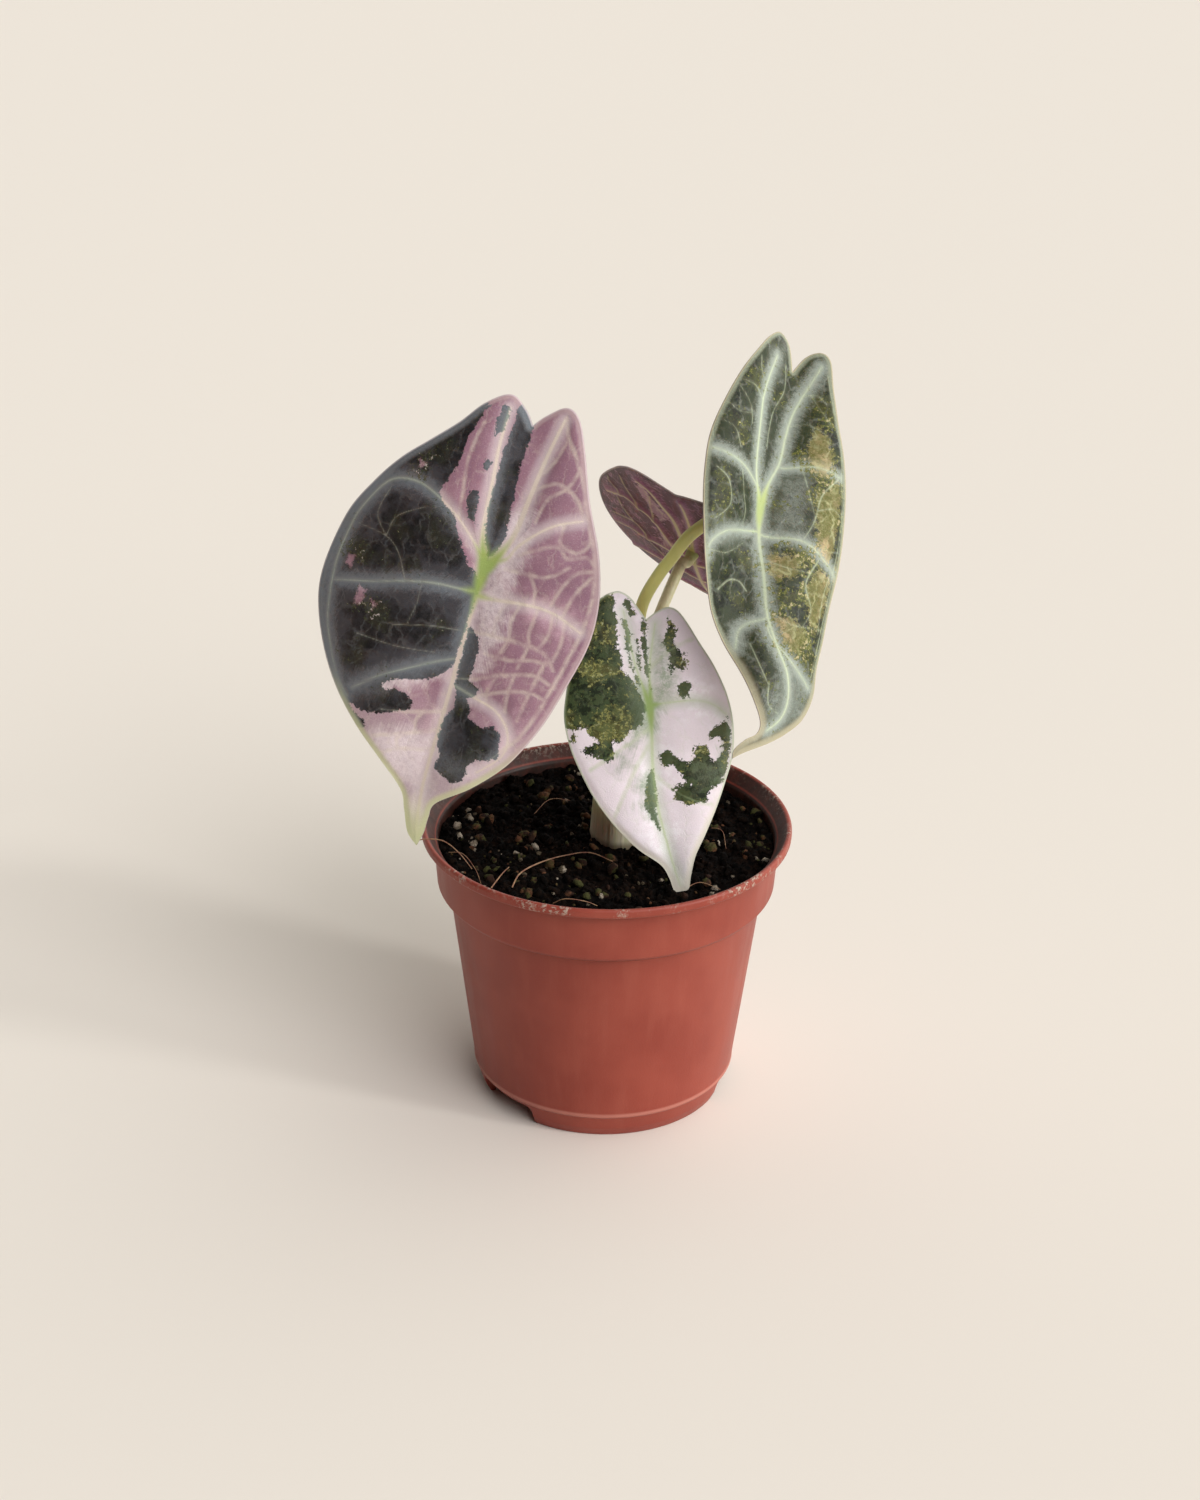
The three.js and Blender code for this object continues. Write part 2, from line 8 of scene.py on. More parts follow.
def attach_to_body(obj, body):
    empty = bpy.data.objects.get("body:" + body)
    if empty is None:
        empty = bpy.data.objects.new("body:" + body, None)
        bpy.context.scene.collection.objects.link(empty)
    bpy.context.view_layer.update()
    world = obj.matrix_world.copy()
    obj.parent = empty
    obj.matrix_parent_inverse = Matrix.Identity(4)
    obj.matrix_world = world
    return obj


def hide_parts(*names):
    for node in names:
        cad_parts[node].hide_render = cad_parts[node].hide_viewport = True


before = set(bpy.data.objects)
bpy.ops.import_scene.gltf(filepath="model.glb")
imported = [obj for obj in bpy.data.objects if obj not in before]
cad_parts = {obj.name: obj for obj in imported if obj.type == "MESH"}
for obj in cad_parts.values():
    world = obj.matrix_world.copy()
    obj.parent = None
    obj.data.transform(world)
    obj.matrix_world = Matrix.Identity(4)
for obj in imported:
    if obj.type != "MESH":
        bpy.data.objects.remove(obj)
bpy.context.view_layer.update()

# Camera. The photograph looks down on the plant at 26 degrees from about 0.7 m, with a slightly
# tilted horizon; the lens is a 70 mm on a 36 mm long side.
POT_AXIS = np.array([7.38, -14.56, 0.0])
CAMERA_PLACE, CAMERA_FALL_DEG, CAMERA_ROLL_DEG, CAMERA_LENS = (-1.85, -628.9, 397.3), 26.04, 0.82, 70.0


def placed(points):
    """Points in millimetres from the pot's axis, moved to the part's frame and put in metres."""
    return (np.asarray(points, float) + POT_AXIS) / 1000.0


def linked(name, data):
    """A new object of the given data, linked into the scene."""
    made = bpy.data.objects.new(name, data)
    bpy.context.scene.collection.objects.link(made)
    return made


camera = linked("camera", bpy.data.cameras.new("camera"))
camera.data.lens = CAMERA_LENS
view_down = Matrix.Rotation(math.radians(90 - CAMERA_FALL_DEG), 4, "X")
view_roll = Matrix.Rotation(math.radians(CAMERA_ROLL_DEG), 4, "Z")
camera.matrix_world = Matrix.Translation(placed(CAMERA_PLACE)) @ view_down @ view_roll
bpy.context.scene.camera = camera

# Light and floor. The sky glows on the right and behind, low daylight comes from the right and a
# broad soft light from the front right; the floor is a plain warm off-white sheet.
GLOW_RIGHT, GLOW_BEHIND = 1.80, 0.93
FLOOR_SIDE, FLOOR_FRONT, FLOOR_BACK = 4, -3, 6
bpy.context.scene.view_settings.view_transform = "Standard"
world = bpy.data.worlds.new("studio")
world.use_nodes = True
sky = world.node_tree
towards = sky.nodes.new("ShaderNodeSeparateXYZ")
sky.links.new(sky.nodes.new("ShaderNodeTexCoord").outputs["Generated"], towards.inputs[0])
glow = sky.nodes.new("ShaderNodeMath")
for k, brightness in enumerate((GLOW_RIGHT, GLOW_BEHIND)):
    side = sky.nodes.new("ShaderNodeMapRange")
    side.inputs["To Max"].default_value = brightness
    sky.links.new(towards.outputs[k], side.inputs["Value"])
    sky.links.new(side.outputs["Result"], glow.inputs[k])
sky.nodes["Background"].inputs["Color"].default_value = (1.0, 0.99, 0.94, 1)
sky.links.new(glow.outputs[0], sky.nodes["Background"].inputs["Strength"])
bpy.context.scene.world = world


def sun(name, source, strength, colour, spread_deg):
    """Sunlight that comes from the direction of source, softened over a cone of spread_deg."""
    made = linked(name, bpy.data.lights.new(name, "SUN"))
    made.data.energy, made.data.color, made.data.angle = strength, colour, math.radians(spread_deg)
    made.matrix_world = Vector(source).to_track_quat("Z", "Y").to_matrix().to_4x4()


sun("window", (0.87, -0.35, 0.36), 0.98, (1.0, 1.0, 0.99), 8)
sun("soft light", (0.39, -0.6, 0.69), 1.66, (1.0, 0.98, 1.0), 42)


def finish(name):
    """A new material, its node tree and its Principled shader."""
    material = bpy.data.materials.new(name)
    material.use_nodes = True
    return material, material.node_tree, material.node_tree.nodes["Principled BSDF"]


floor = linked("floor", bpy.data.meshes.new("floor"))
floor_corners = [(-FLOOR_SIDE, FLOOR_FRONT, 0), (FLOOR_SIDE, FLOOR_FRONT, 0), (FLOOR_SIDE, FLOOR_BACK, 0),
                 (-FLOOR_SIDE, FLOOR_BACK, 0)]
floor.data.from_pydata(floor_corners, [], [(0, 1, 2, 3)])
paper, _, paper_shader = finish("pale paper")
paper_shader.inputs["Base Color"].default_value = (0.80, 0.742, 0.668, 1)
paper_shader.inputs["Roughness"].default_value = 0.9
floor.data.materials.append(paper)

# Pot: one injection-moulded shell of terracotta-coloured plastic, with a flared lip, a deep band
# and a foot ring broken by three drainage notches. It stays fixed; the soil is packed into it.
RIM_RADIUS, POT_HEIGHT, POT_WALL = 45.0, 71.0, 1.1
BAND_TOP, BAND_FOOT, BAND_FOOT_Z = 42.1, 41.2, 54.7
BODY_TOP, BODY_FOOT, BODY_FOOT_Z = 38.4, 32.3, 6.6
FOOT_RADIUS, FLOOR_Z = 29.8, 5.4
NOTCHES_DEG, NOTCH_WIDTH, NOTCH_HEIGHT, NOTCH_CORNER = (-141, -9, 105), 18.6, 4.9, 2.2
DRAIN_HOLES, DRAIN_CIRCLE, DRAIN_RADIUS, DRAIN_SIDES, DRAIN_SPAN = 6, 20, 3, 40, (3.5, 8.5)
MOULD_LINE_Z, BAND_SLOPE, BAND_INSIDE, LIP_INSIDE = 6.9, 0.062, 37.4, 44.2


def rounded(profile, radius, steps=4):
    """A polyline whose inner corners are quadratic curves that start `radius` before each corner."""
    points = np.asarray(profile, float)
    before, corner, after = points[:-2], points[1:-1], points[2:]
    reach_in = np.linalg.norm(before - corner, axis=1, keepdims=True)
    reach_out = np.linalg.norm(after - corner, axis=1, keepdims=True)
    cut = np.minimum(radius, 0.45 * np.minimum(reach_in, reach_out))
    start = corner + (before - corner) / reach_in * cut
    end = corner + (after - corner) / reach_out * cut
    share = np.linspace(0, 1, steps)[None, :, None]
    curve = (1 - share) ** 2 * start[:, None] + 2 * share * (1 - share) * corner[:, None] \
        + share ** 2 * end[:, None]
    return np.vstack([points[:1], curve.reshape(-1, 2), points[-1:]])


def grid_triangles(rows, columns, wrap=False):
    """Two triangles for each cell of a grid of vertices numbered row by row, joined round in the
    columns where wrap is set."""
    row, column = np.meshgrid(np.arange(rows - 1), np.arange(columns - (not wrap)), indexing="ij")
    a = row * columns + column
    b = row * columns + (column + 1) % columns
    c, d = b + columns, a + columns
    return np.stack([a, b, c, a, c, d], -1).reshape(-1, 3)


def welded(points, triangles):
    """Vertices that share a place made one, and triangles that shrank to a line left out. The
    last two results are where each kept vertex stood in the input, and which triangles stay."""
    _, first, number = np.unique(np.round(points, 4), axis=0, return_index=True, return_inverse=True)
    tris = number.ravel()[triangles]
    whole = (tris[:, 0] != tris[:, 1]) & (tris[:, 1] != tris[:, 2]) & (tris[:, 2] != tris[:, 0])
    return points[first], tris[whole], first, whole


def piece(name, points, triangles, materials, slot, face_material=None):
    """A smooth mesh object of millimetre points, riding with the part and finished in its materials; `slot`
    is not used.
    """
    mesh = bpy.data.meshes.new(name)
    mesh.vertices.add(len(points))
    mesh.vertices.foreach_set("co", placed(points).ravel())
    mesh.loops.add(triangles.size)
    mesh.loops.foreach_set("vertex_index", triangles.ravel().astype(np.int32))
    mesh.polygons.add(len(triangles))
    mesh.polygons.foreach_set("loop_start", np.arange(0, triangles.size, 3, dtype=np.int32))
    mesh.polygons.foreach_set("use_smooth", np.ones(len(triangles), bool))
    if face_material is not None:
        mesh.polygons.foreach_set("material_index", face_material.astype(np.int32))
    mesh.update(calc_edges=True)
    for material in materials:
        mesh.materials.append(material)
    made = linked(name, mesh)
    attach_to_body(made, "root")
    return made


lip_foot = POT_HEIGHT - 2.6
inner_foot = FOOT_RADIUS - POT_WALL - 0.2
pot_outside = [
    (0, FLOOR_Z), (inner_foot, FLOOR_Z), (inner_foot, 0), (FOOT_RADIUS, 0), (FOOT_RADIUS + 1.3, 2.6),
    (BODY_FOOT - 0.25, BODY_FOOT_Z - 0.5), (BODY_FOOT + 0.22, BODY_FOOT_Z),
    (BODY_FOOT + 0.1, BODY_FOOT_Z + 0.8), (BODY_TOP, BAND_FOOT_Z), (BAND_FOOT - 0.8, BAND_FOOT_Z + 0.2),
    (BAND_FOOT, BAND_FOOT_Z + 1.3), (BAND_TOP, lip_foot - 0.5), (BAND_TOP + 0.7, lip_foot),
    (RIM_RADIUS - 0.4, lip_foot + 0.2), (RIM_RADIUS, lip_foot + 0.7), (RIM_RADIUS, POT_HEIGHT - 0.5),
    (RIM_RADIUS - 0.4, POT_HEIGHT)]
pot_inside = [
    (RIM_RADIUS - 1.15, POT_HEIGHT - 0.1), (BAND_TOP - POT_WALL + 0.9, lip_foot),
    (BAND_TOP - POT_WALL, lip_foot - 1.2), (BAND_FOOT - POT_WALL, BAND_FOOT_Z + 1.6),
    (BODY_TOP - POT_WALL, BAND_FOOT_Z + 0.1), (BODY_FOOT - POT_WALL, FLOOR_Z + POT_WALL + 1),
    (0, FLOOR_Z + POT_WALL)]
pot_profile = rounded(pot_outside + pot_inside, 0.35)

notch_mid = np.radians(NOTCHES_DEG)[:, None]
half_notch = NOTCH_WIDTH / 2
notch_steps = half_notch - np.array([-0.02, 0.02, 0.2, 0.6, 1.2, NOTCH_CORNER, 4.0, 7.0])
notch_turns = (notch_mid + np.concatenate([notch_steps, -notch_steps]) / FOOT_RADIUS).ravel()
even_turns = np.linspace(-math.pi, math.pi, 288, endpoint=False)
clear = np.abs(even_turns[:, None] - notch_turns[None]).min(1) > 0.006
pot_turns = np.sort(np.concatenate([even_turns[clear], notch_turns]))
along = np.abs((pot_turns[:, None] - notch_mid.T + math.pi) % (2 * math.pi) - math.pi).min(1) * FOOT_RADIUS
corner_reach = np.clip(along - half_notch + NOTCH_CORNER, 0, NOTCH_CORNER)
notch_top = NOTCH_HEIGHT - NOTCH_CORNER + np.sqrt(NOTCH_CORNER ** 2 - corner_reach ** 2)
notch_top = np.where(along < half_notch, notch_top, 0)
pot_r = np.broadcast_to(pot_profile[:, 0, None], (len(pot_profile), len(pot_turns)))
pot_z = np.broadcast_to(pot_profile[:, 1, None], pot_r.shape)
pot_z = np.where((pot_r > inner_foot - 1) & (pot_z < NOTCH_HEIGHT), np.maximum(pot_z, notch_top), pot_z)
pot_points = np.stack([pot_r * np.cos(pot_turns), pot_r * np.sin(pot_turns), pot_z], -1).reshape(-1, 3)
pot_triangles = grid_triangles(len(pot_profile), len(pot_turns), wrap=True)
pot_points, pot_triangles = welded(pot_points, pot_triangles)[:2]


def feed(socket, value):
    """An input socket linked to the given socket, or set to the given value."""
    if isinstance(value, bpy.types.NodeSocket):
        socket.id_data.links.new(value, socket)
    else:
        socket.default_value = value


def add(tree, kind, *links, **values):
    """A node of the given kind. links are (input, value or socket) pairs; values set its properties.
    The functions below add their nodes to the tree of the socket that they are given."""
    node = tree.nodes.new(kind)
    for key, value in values.items():
        setattr(node, key, value)
    for label, value in links:
        feed(node.inputs[label], value)
    return node


def object_place(tree):
    """The place on the object in metres, which is where its noises are taken."""
    return add(tree, "ShaderNodeTexCoord").outputs["Object"]


def stretched(where, scale, turn=(0, 0, 0)):
    """A place turned and multiplied by scale, so that a noise is drawn out along the small number."""
    return add(where.id_data, "ShaderNodeMapping", ("Vector", where), ("Rotation", turn),
               ("Scale", scale)).outputs[0]


def noise(where, scale, detail=4.0, roughness=0.55):
    """Noise of the given scale at a place; its value output runs from 0 to 1."""
    return add(where.id_data, "ShaderNodeTexNoise", ("Vector", where), ("Scale", scale),
               ("Detail", detail), ("Roughness", roughness)).outputs["Fac"]


def ramp(value, low, high, start=0.0, end=1.0):
    """A value taken smoothly from start to end as it goes from low to high."""
    return add(value.id_data, "ShaderNodeMapRange", ("Value", value), ("From Min", low), ("From Max", high),
               ("To Min", start), ("To Max", end), interpolation_type="SMOOTHSTEP").outputs["Result"]


def math_node(operation, first, second=0.0):
    """One operation on a socket and another socket or number."""
    return add(first.id_data, "ShaderNodeMath", (0, first), (1, second), operation=operation).outputs[0]


def times(first, second):
    """The product of a socket and another socket or number."""
    return math_node("MULTIPLY", first, second)


def plus(first, second):
    """The sum of a socket and another socket or number."""
    return math_node("ADD", first, second)


FIRST_COLOUR, SECOND_COLOUR, MIXED_COLOUR = 6, 7, 2


def mixed(share, first, second):
    """Two colours mixed by a share, through the colour sockets of a Mix node."""
    node = add(share.id_data, "ShaderNodeMix", ("Factor", share), data_type="RGBA")
    for label, value in ((FIRST_COLOUR, first), (SECOND_COLOUR, second)):
        feed(node.inputs[label], (*value, 1) if isinstance(value, tuple) else value)
    return node.outputs[MIXED_COLOUR]


def coated(shader, colour, roughness, height, depth, shine=0.5, let_in=0.0):
    """The shader's colour, roughness, shine and share of light let in below the surface, and its
    normal tilted by a height in units of `depth` metres."""
    bump = add(shader.id_data, "ShaderNodeBump", ("Height", height), ("Distance", depth), ("Strength", 1.0))
    for label, value in (("Base Color", colour), ("Roughness", roughness), ("Specular IOR Level", shine),
                         ("Subsurface Weight", let_in), ("Normal", bump.outputs["Normal"])):
        feed(shader.inputs[label], value)


plastic, tree, shader = finish("terracotta plastic")
where = object_place(tree)
height = add(tree, "ShaderNodeSeparateXYZ", (0, where)).outputs["Z"]
cloud = noise(where, 45, 3)
streak = noise(stretched(where, (1, 1, 0.12)), 220, 4)
grain = noise(where, 2600, 2)
colour = mixed(ramp(cloud, 0.35, 0.7), (0.262, 0.043, 0.026), (0.315, 0.060, 0.037))
colour = mixed(ramp(streak, 0.45, 0.75, 0, 0.28), colour, (0.37, 0.095, 0.062))
colour = mixed(ramp(grain, 0.35, 0.7, 0, 0.12), colour, (0.22, 0.05, 0.04))
# The mould line at the foot step is painted lighter: a painted highlight where the step's edge catches the
# light.
mould_line_highlight = math_node("ABSOLUTE", math_node("SUBTRACT", height, MOULD_LINE_Z / 1000))
colour = mixed(ramp(mould_line_highlight, 0.0009, 0.0002, 0, 0.45), colour, (0.60, 0.27, 0.21))
from_axis = add(tree, "ShaderNodeVectorMath", (0, where), (1, tuple(-POT_AXIS / 1000))).outputs[0]
flat_place = add(tree, "ShaderNodeVectorMath", (0, from_axis), (1, (1, 1, 0)),
                 operation="MULTIPLY").outputs[0]
radius = add(tree, "ShaderNodeVectorMath", (0, flat_place), operation="LENGTH").outputs["Value"]
# The inside of the wall above the soil and the inner edge of the lip are painted near-black: painted shade in
# the pot's hollow, made patchy by soil smears.
inner = math_node("SUBTRACT", radius, times(height, BAND_SLOPE))
wall_inside = times(ramp(inner, BAND_INSIDE / 1000, BAND_INSIDE / 1000 - 0.0003), ramp(height, 0.0545, 0.056))
lip_inside = times(ramp(radius, LIP_INSIDE / 1000, LIP_INSIDE / 1000 - 0.0007), ramp(height, 0.0678, 0.0684))
inner_wall_shade_and_smear = math_node("MAXIMUM", wall_inside, times(lip_inside, 0.92))
smear_and_shade_patches = ramp(noise(where, 420, 5, 0.7), 0.3, 0.6, 0.82, 1.0)
colour = mixed(times(inner_wall_shade_and_smear, smear_and_shade_patches), colour, (0.030, 0.013, 0.009))
crust_patch = times(ramp(noise(where, 60, 5, 0.7), 0.42, 0.58), ramp(height, 0.0672, 0.0702))
crust_speck = ramp(noise(where, 900, 3, 0.7), 0.5, 0.62)
lip_edge = ramp(radius, 0.0430, 0.0440, 0.25, 1.0)
crust = times(times(crust_patch, lip_edge), crust_speck)
colour = mixed(times(crust, 0.75), colour, (0.55, 0.47, 0.38))
rough = plus(ramp(streak, 0.3, 0.8, 0.42, 0.55), times(crust, 0.3))
relief = plus(times(grain, 0.25), plus(times(streak, 0.35), crust))
coated(shader, colour, rough, relief, 0.00012, shine=0.32)

# The drain holes are cut through the floor by six round punches, and the result is kept as a mesh.
pot = piece("pot_shell", pot_points, pot_triangles, [plastic], "nursery_plastic")
punch = linked("drain punch", bpy.data.meshes.new("drain punch"))
hole_turns = np.arange(DRAIN_HOLES) * 2 * math.pi / DRAIN_HOLES
side_turns = np.linspace(0, 2 * math.pi, DRAIN_SIDES, endpoint=False)
drain_spots = DRAIN_CIRCLE * np.column_stack([np.cos(hole_turns), np.sin(hole_turns)])
punch_ring = DRAIN_RADIUS * np.column_stack([np.cos(side_turns), np.sin(side_turns)])
punch_points = [np.column_stack([punch_ring + spot, np.full(DRAIN_SIDES, z)])
                for spot in drain_spots for z in DRAIN_SPAN]
punch_faces = []
for k in range(0, 2 * DRAIN_SIDES * DRAIN_HOLES, 2 * DRAIN_SIDES):
    low, high = range(k, k + DRAIN_SIDES), range(k + DRAIN_SIDES, k + 2 * DRAIN_SIDES)
    punch_faces += [[low[i - 1], low[i], high[i], high[i - 1]] for i in range(DRAIN_SIDES)]
    punch_faces += [list(low)[::-1], list(high)]
punch.data.from_pydata(placed(np.vstack(punch_points)).tolist(), [], punch_faces)
drains = pot.modifiers.new("drains", "BOOLEAN")
drains.object, drains.operation, drains.solver = punch, "DIFFERENCE", "EXACT"
drained = bpy.data.meshes.new_from_object(pot.evaluated_get(bpy.context.evaluated_depsgraph_get()))
pot.modifiers.clear()
pot.data = drained
bpy.data.objects.remove(punch)
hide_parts("pot")

# Soil: loose black peat with wood crumbs, fibres and perlite, pressed into the pot and heaped a
# little round the stem. It is made as one lumpy body, with the crumbs and grains lying on it.
SOIL_Z, SOIL_LUMP, SOIL_MOUND, MOUND_RADIUS, SOIL_RADIUS = 65.7, 0.9, 1.2, 13.0, 40.7
STEM_CENTRE, STEM_CLEARANCE = np.array([2.5, 1.0]), 7.2
CRUMBS, BARK_BITS, PERLITE = (1700, 0.32, 1.25, 5), (260, 0.3, 1.5, 25), (95, 0.25, 1.05, 15)


def lattice_noise(x, y, size, seed):
    """Smooth random heights from -1 to 1: random values on a square lattice of the given size,
    with a cubic ease between neighbours in both directions."""
    table = np.random.default_rng(seed).uniform(-1, 1, (64, 64))
    column, row = x / size + 32, y / size + 32
    i, j = np.floor(column).astype(int), np.floor(row).astype(int)
    s, t = column - i, row - j
    s, t = s * s * (3 - 2 * s), t * t * (3 - 2 * t)
    near = table[i % 64, j % 64] * (1 - s) + table[(i + 1) % 64, j % 64] * s
    far = table[i % 64, (j + 1) % 64] * (1 - s) + table[(i + 1) % 64, (j + 1) % 64] * s
    return near * (1 - t) + far * t


def soil_height(x, y):
    """The solid's slow sines and its mound at the stem, with clods of three sizes on top."""
    slow = np.sin(0.31 * x + 0.4) * np.cos(0.27 * y - 1.1)
    middle = np.sin(0.83 * x - 0.52 * y + 2.1) * np.sin(0.71 * y + 0.45 * x)
    quick = np.sin(1.7 * x + 0.9 * y) * np.cos(1.9 * y - 0.6 * x + 0.8)
    lump = SOIL_LUMP * (0.5 * slow + 0.35 * middle + 0.3 * quick)
    reach = np.hypot(x - STEM_CENTRE[0], y - STEM_CENTRE[1]) / MOUND_RADIUS
    clods = 0.45 * lattice_noise(x, y, 3.1, 7) + 0.4 * lattice_noise(x, y, 1.5, 8) \
        + 0.28 * lattice_noise(x, y, 0.75, 9)
    return SOIL_Z + SOIL_MOUND * np.exp(-reach ** 2) + lump + clods


def lathe(profile, columns):
    """Vertices and triangles of a (radius, z) profile turned about the Z axis, wound so that a
    profile that starts at the middle of the foot and runs up the outside faces outwards."""
    turns = np.linspace(0, 2 * math.pi, columns, endpoint=False)
    r, z = np.asarray(profile, float).T[:, :, None] * np.ones(columns)
    points = np.stack([r * np.cos(turns), r * np.sin(turns), z], -1).reshape(-1, 3)
    return points, grid_triangles(len(profile), columns, wrap=True)


soil_side = [(0, 6.9), (29.8, 6.9), (36.9, 55.0), (39.9, 57.0)]
soil_rings = [(r, SOIL_Z) for r in np.linspace(SOIL_RADIUS, 0, 120)]
soil_points, soil_triangles = lathe(soil_side + soil_rings, 360)
on_top = soil_points[:, 2] > SOIL_Z - 1
soil_points[on_top, 2] = soil_height(soil_points[on_top, 0], soil_points[on_top, 1])
soil_points, soil_triangles = welded(soil_points, soil_triangles)[:2]


def tone(red, green, blue):
    """The linear colour of a display tone given as three numbers up to 255."""
    return tuple((part / 255) ** 2.2 for part in (red, green, blue))


peat, tree, shader = finish("peat")
where = object_place(tree)
crumb = noise(where, 900, 5, 0.65)
damp = noise(where, 160, 3)
fibre = noise(stretched(where, (1, 0.25, 1), (0, 0, 0.6)), 1500, 3, 0.7)
colour = mixed(ramp(crumb, 0.35, 0.68), tone(2, 2, 1), tone(34, 24, 18))
colour = mixed(ramp(damp, 0.35, 0.62, 0, 0.75), colour, tone(6, 4, 3))
colour = mixed(ramp(fibre, 0.67, 0.77, 0, 0.5), colour, tone(88, 62, 42))
coated(shader, colour, 0.92, crumb, 0.0007, shine=0.08)

soil = piece("soil_body", soil_points, soil_triangles, [peat], "peat_mix")
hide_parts("soil")


def scattered(places, sizes, seed, rows=5, columns=7):
    """Small closed lumps, each a sphere grid stretched and dented at random, as one mesh. places
    are their middles and sizes their radii."""
    dice = np.random.default_rng(seed)
    lean = np.linspace(0, math.pi, rows)[:, None]
    turn = np.linspace(0, 2 * math.pi, columns, endpoint=False)[None]
    ball = np.stack([np.sin(lean) * np.cos(turn), np.sin(lean) * np.sin(turn),
                     np.cos(lean) * np.ones_like(turn)], -1)
    dent = 1 + dice.uniform(-0.28, 0.28, (len(places), rows, columns, 1))
    dent[:, [0, -1]] = dent[:, [0, -1], :1]
    stretch = dice.uniform(0.6, 1.35, (len(places), 1, 1, 3))
    spin = np.linalg.qr(dice.normal(size=(len(places), 3, 3)))[0]
    spin *= np.sign(np.linalg.det(spin))[:, None, None]
    shape = (ball * dent * stretch) @ spin[:, None]
    points = (places[:, None, None] + sizes[:, None, None, None] * shape).reshape(-1, 3)
    one = grid_triangles(rows, columns, wrap=True)[:, ::-1]
    triangles = (one[None] + (np.arange(len(places)) * rows * columns)[:, None, None]).reshape(-1, 3)
    return welded(points, triangles)[:2]


def strewn(count, low, high, seed, reach=39.6):
    """count random places on the soil within reach of the pot's axis, even over its area and
    outside the stem, with radii from low to high that are mostly near the low end."""
    dice = np.random.default_rng(seed)
    r, turn = reach * np.sqrt(dice.uniform(0, 1, count)), dice.uniform(0, 2 * math.pi, count)
    x, y = r * np.cos(turn), r * np.sin(turn)
    sizes = low + (high - low) * dice.uniform(0, 1, count) ** 2.5
    clear = np.hypot(x - STEM_CENTRE[0], y - STEM_CENTRE[1]) > STEM_CLEARANCE
    places = np.stack([x, y, soil_height(x, y) + 0.25 * sizes], -1)
    return places[clear], sizes[clear]


piece("peat_crumbs", *scattered(*strewn(*CRUMBS), seed=6), [peat], "peat_mix")

bark, tree, shader = finish("bark and moss bits")
where = object_place(tree)
tint, pit = noise(where, 260, 2), noise(where, 2400, 3, 0.7)
colour = mixed(ramp(tint, 0.4, 0.56), tone(92, 62, 44), tone(66, 66, 38))
colour = mixed(ramp(noise(where, 330, 2), 0.5, 0.6), colour, tone(50, 34, 26))
colour = mixed(ramp(pit, 0.5, 0.68, 0, 0.8), colour, tone(18, 12, 9))
coated(shader, colour, 0.85, pit, 0.0003, shine=0.15)
piece("bark_bits", *scattered(*strewn(*BARK_BITS), seed=26), [bark], "peat_mix")

perlite, tree, shader = finish("perlite")
where = object_place(tree)
tint, pit = noise(where, 210, 2), noise(where, 3200, 3, 0.7)
colour = mixed(ramp(tint, 0.42, 0.56), tone(176, 164, 146), tone(92, 82, 66))
colour = mixed(ramp(pit, 0.46, 0.64, 0, 0.75), colour, tone(52, 40, 32))
coated(shader, colour, 0.85, pit, 0.0003, shine=0.2)
piece("perlite_grains", *scattered(*strewn(*PERLITE), seed=16, rows=6, columns=9), [perlite], "peat_mix")


def centripetal(points, count):
    """count places evenly spaced along the centripetal Catmull-Rom curve through the points:
    knots are spaced by the square root of the chord, and each span is a Hermite cubic."""
    p = np.asarray(points, float)
    p = np.vstack([2 * p[0] - p[1], p, 2 * p[-1] - p[-2]])
    gap = np.sqrt(np.linalg.norm(np.diff(p, axis=0), axis=1))[:, None]
    step = np.diff(p, axis=0) / gap
    pull = step[:-1] - (p[2:] - p[:-2]) / (gap[:-1] + gap[1:]) + step[1:]
    start, end, span = p[1:-2], p[2:-1], gap[1:-1]
    t = np.linspace(0, 1, 60)[None, :, None]
    a, b, m, n = (x[:, None] for x in (start, end, pull[:-1] * span, pull[1:] * span))
    path = (a + m * t + (-3 * a + 3 * b - 2 * m - n) * t ** 2 + (2 * a - 2 * b + m + n) * t ** 3)
    path = path.reshape(-1, p.shape[1])
    reach = np.r_[0, np.cumsum(np.linalg.norm(np.diff(path, axis=0), axis=1))]
    even = np.linspace(0, reach[-1], count)
    return np.stack([np.interp(even, reach, path[:, axis]) for axis in range(p.shape[1])], -1)


def tube(path, radii, sides):
    """A closed round tube along evenly spaced places. Each ring lies across the path, its first
    side turned away from a fixed direction, and both ends come to a point."""
    way = np.gradient(path, axis=0)
    way /= np.linalg.norm(way, axis=1, keepdims=True)
    across = np.cross(way, (0.31, 0.9, 0.3))
    across /= np.linalg.norm(across, axis=1, keepdims=True)
    beside = np.cross(way, across)
    turn = np.linspace(0, 2 * math.pi, sides, endpoint=False)[None, :, None]
    ring = across[:, None] * np.cos(turn) + beside[:, None] * np.sin(turn)
    skin = path[:, None] + ring * np.asarray(radii, float)[:, None, None]
    ends = [np.repeat(path[k][None, None], sides, 1) for k in (0, -1)]
    skin = np.concatenate([ends[0], skin, ends[1]])
    return welded(skin.reshape(-1, 3), grid_triangles(len(skin), sides, wrap=True)[:, ::-1])[:2]


def joined(parts):
    """Several (points, triangles) pairs as one."""
    counts = np.cumsum([0] + [len(points) for points, _ in parts[:-1]])
    return (np.vstack([points for points, _ in parts]),
            np.vstack([triangles + count for (_, triangles), count in zip(parts, counts)]))


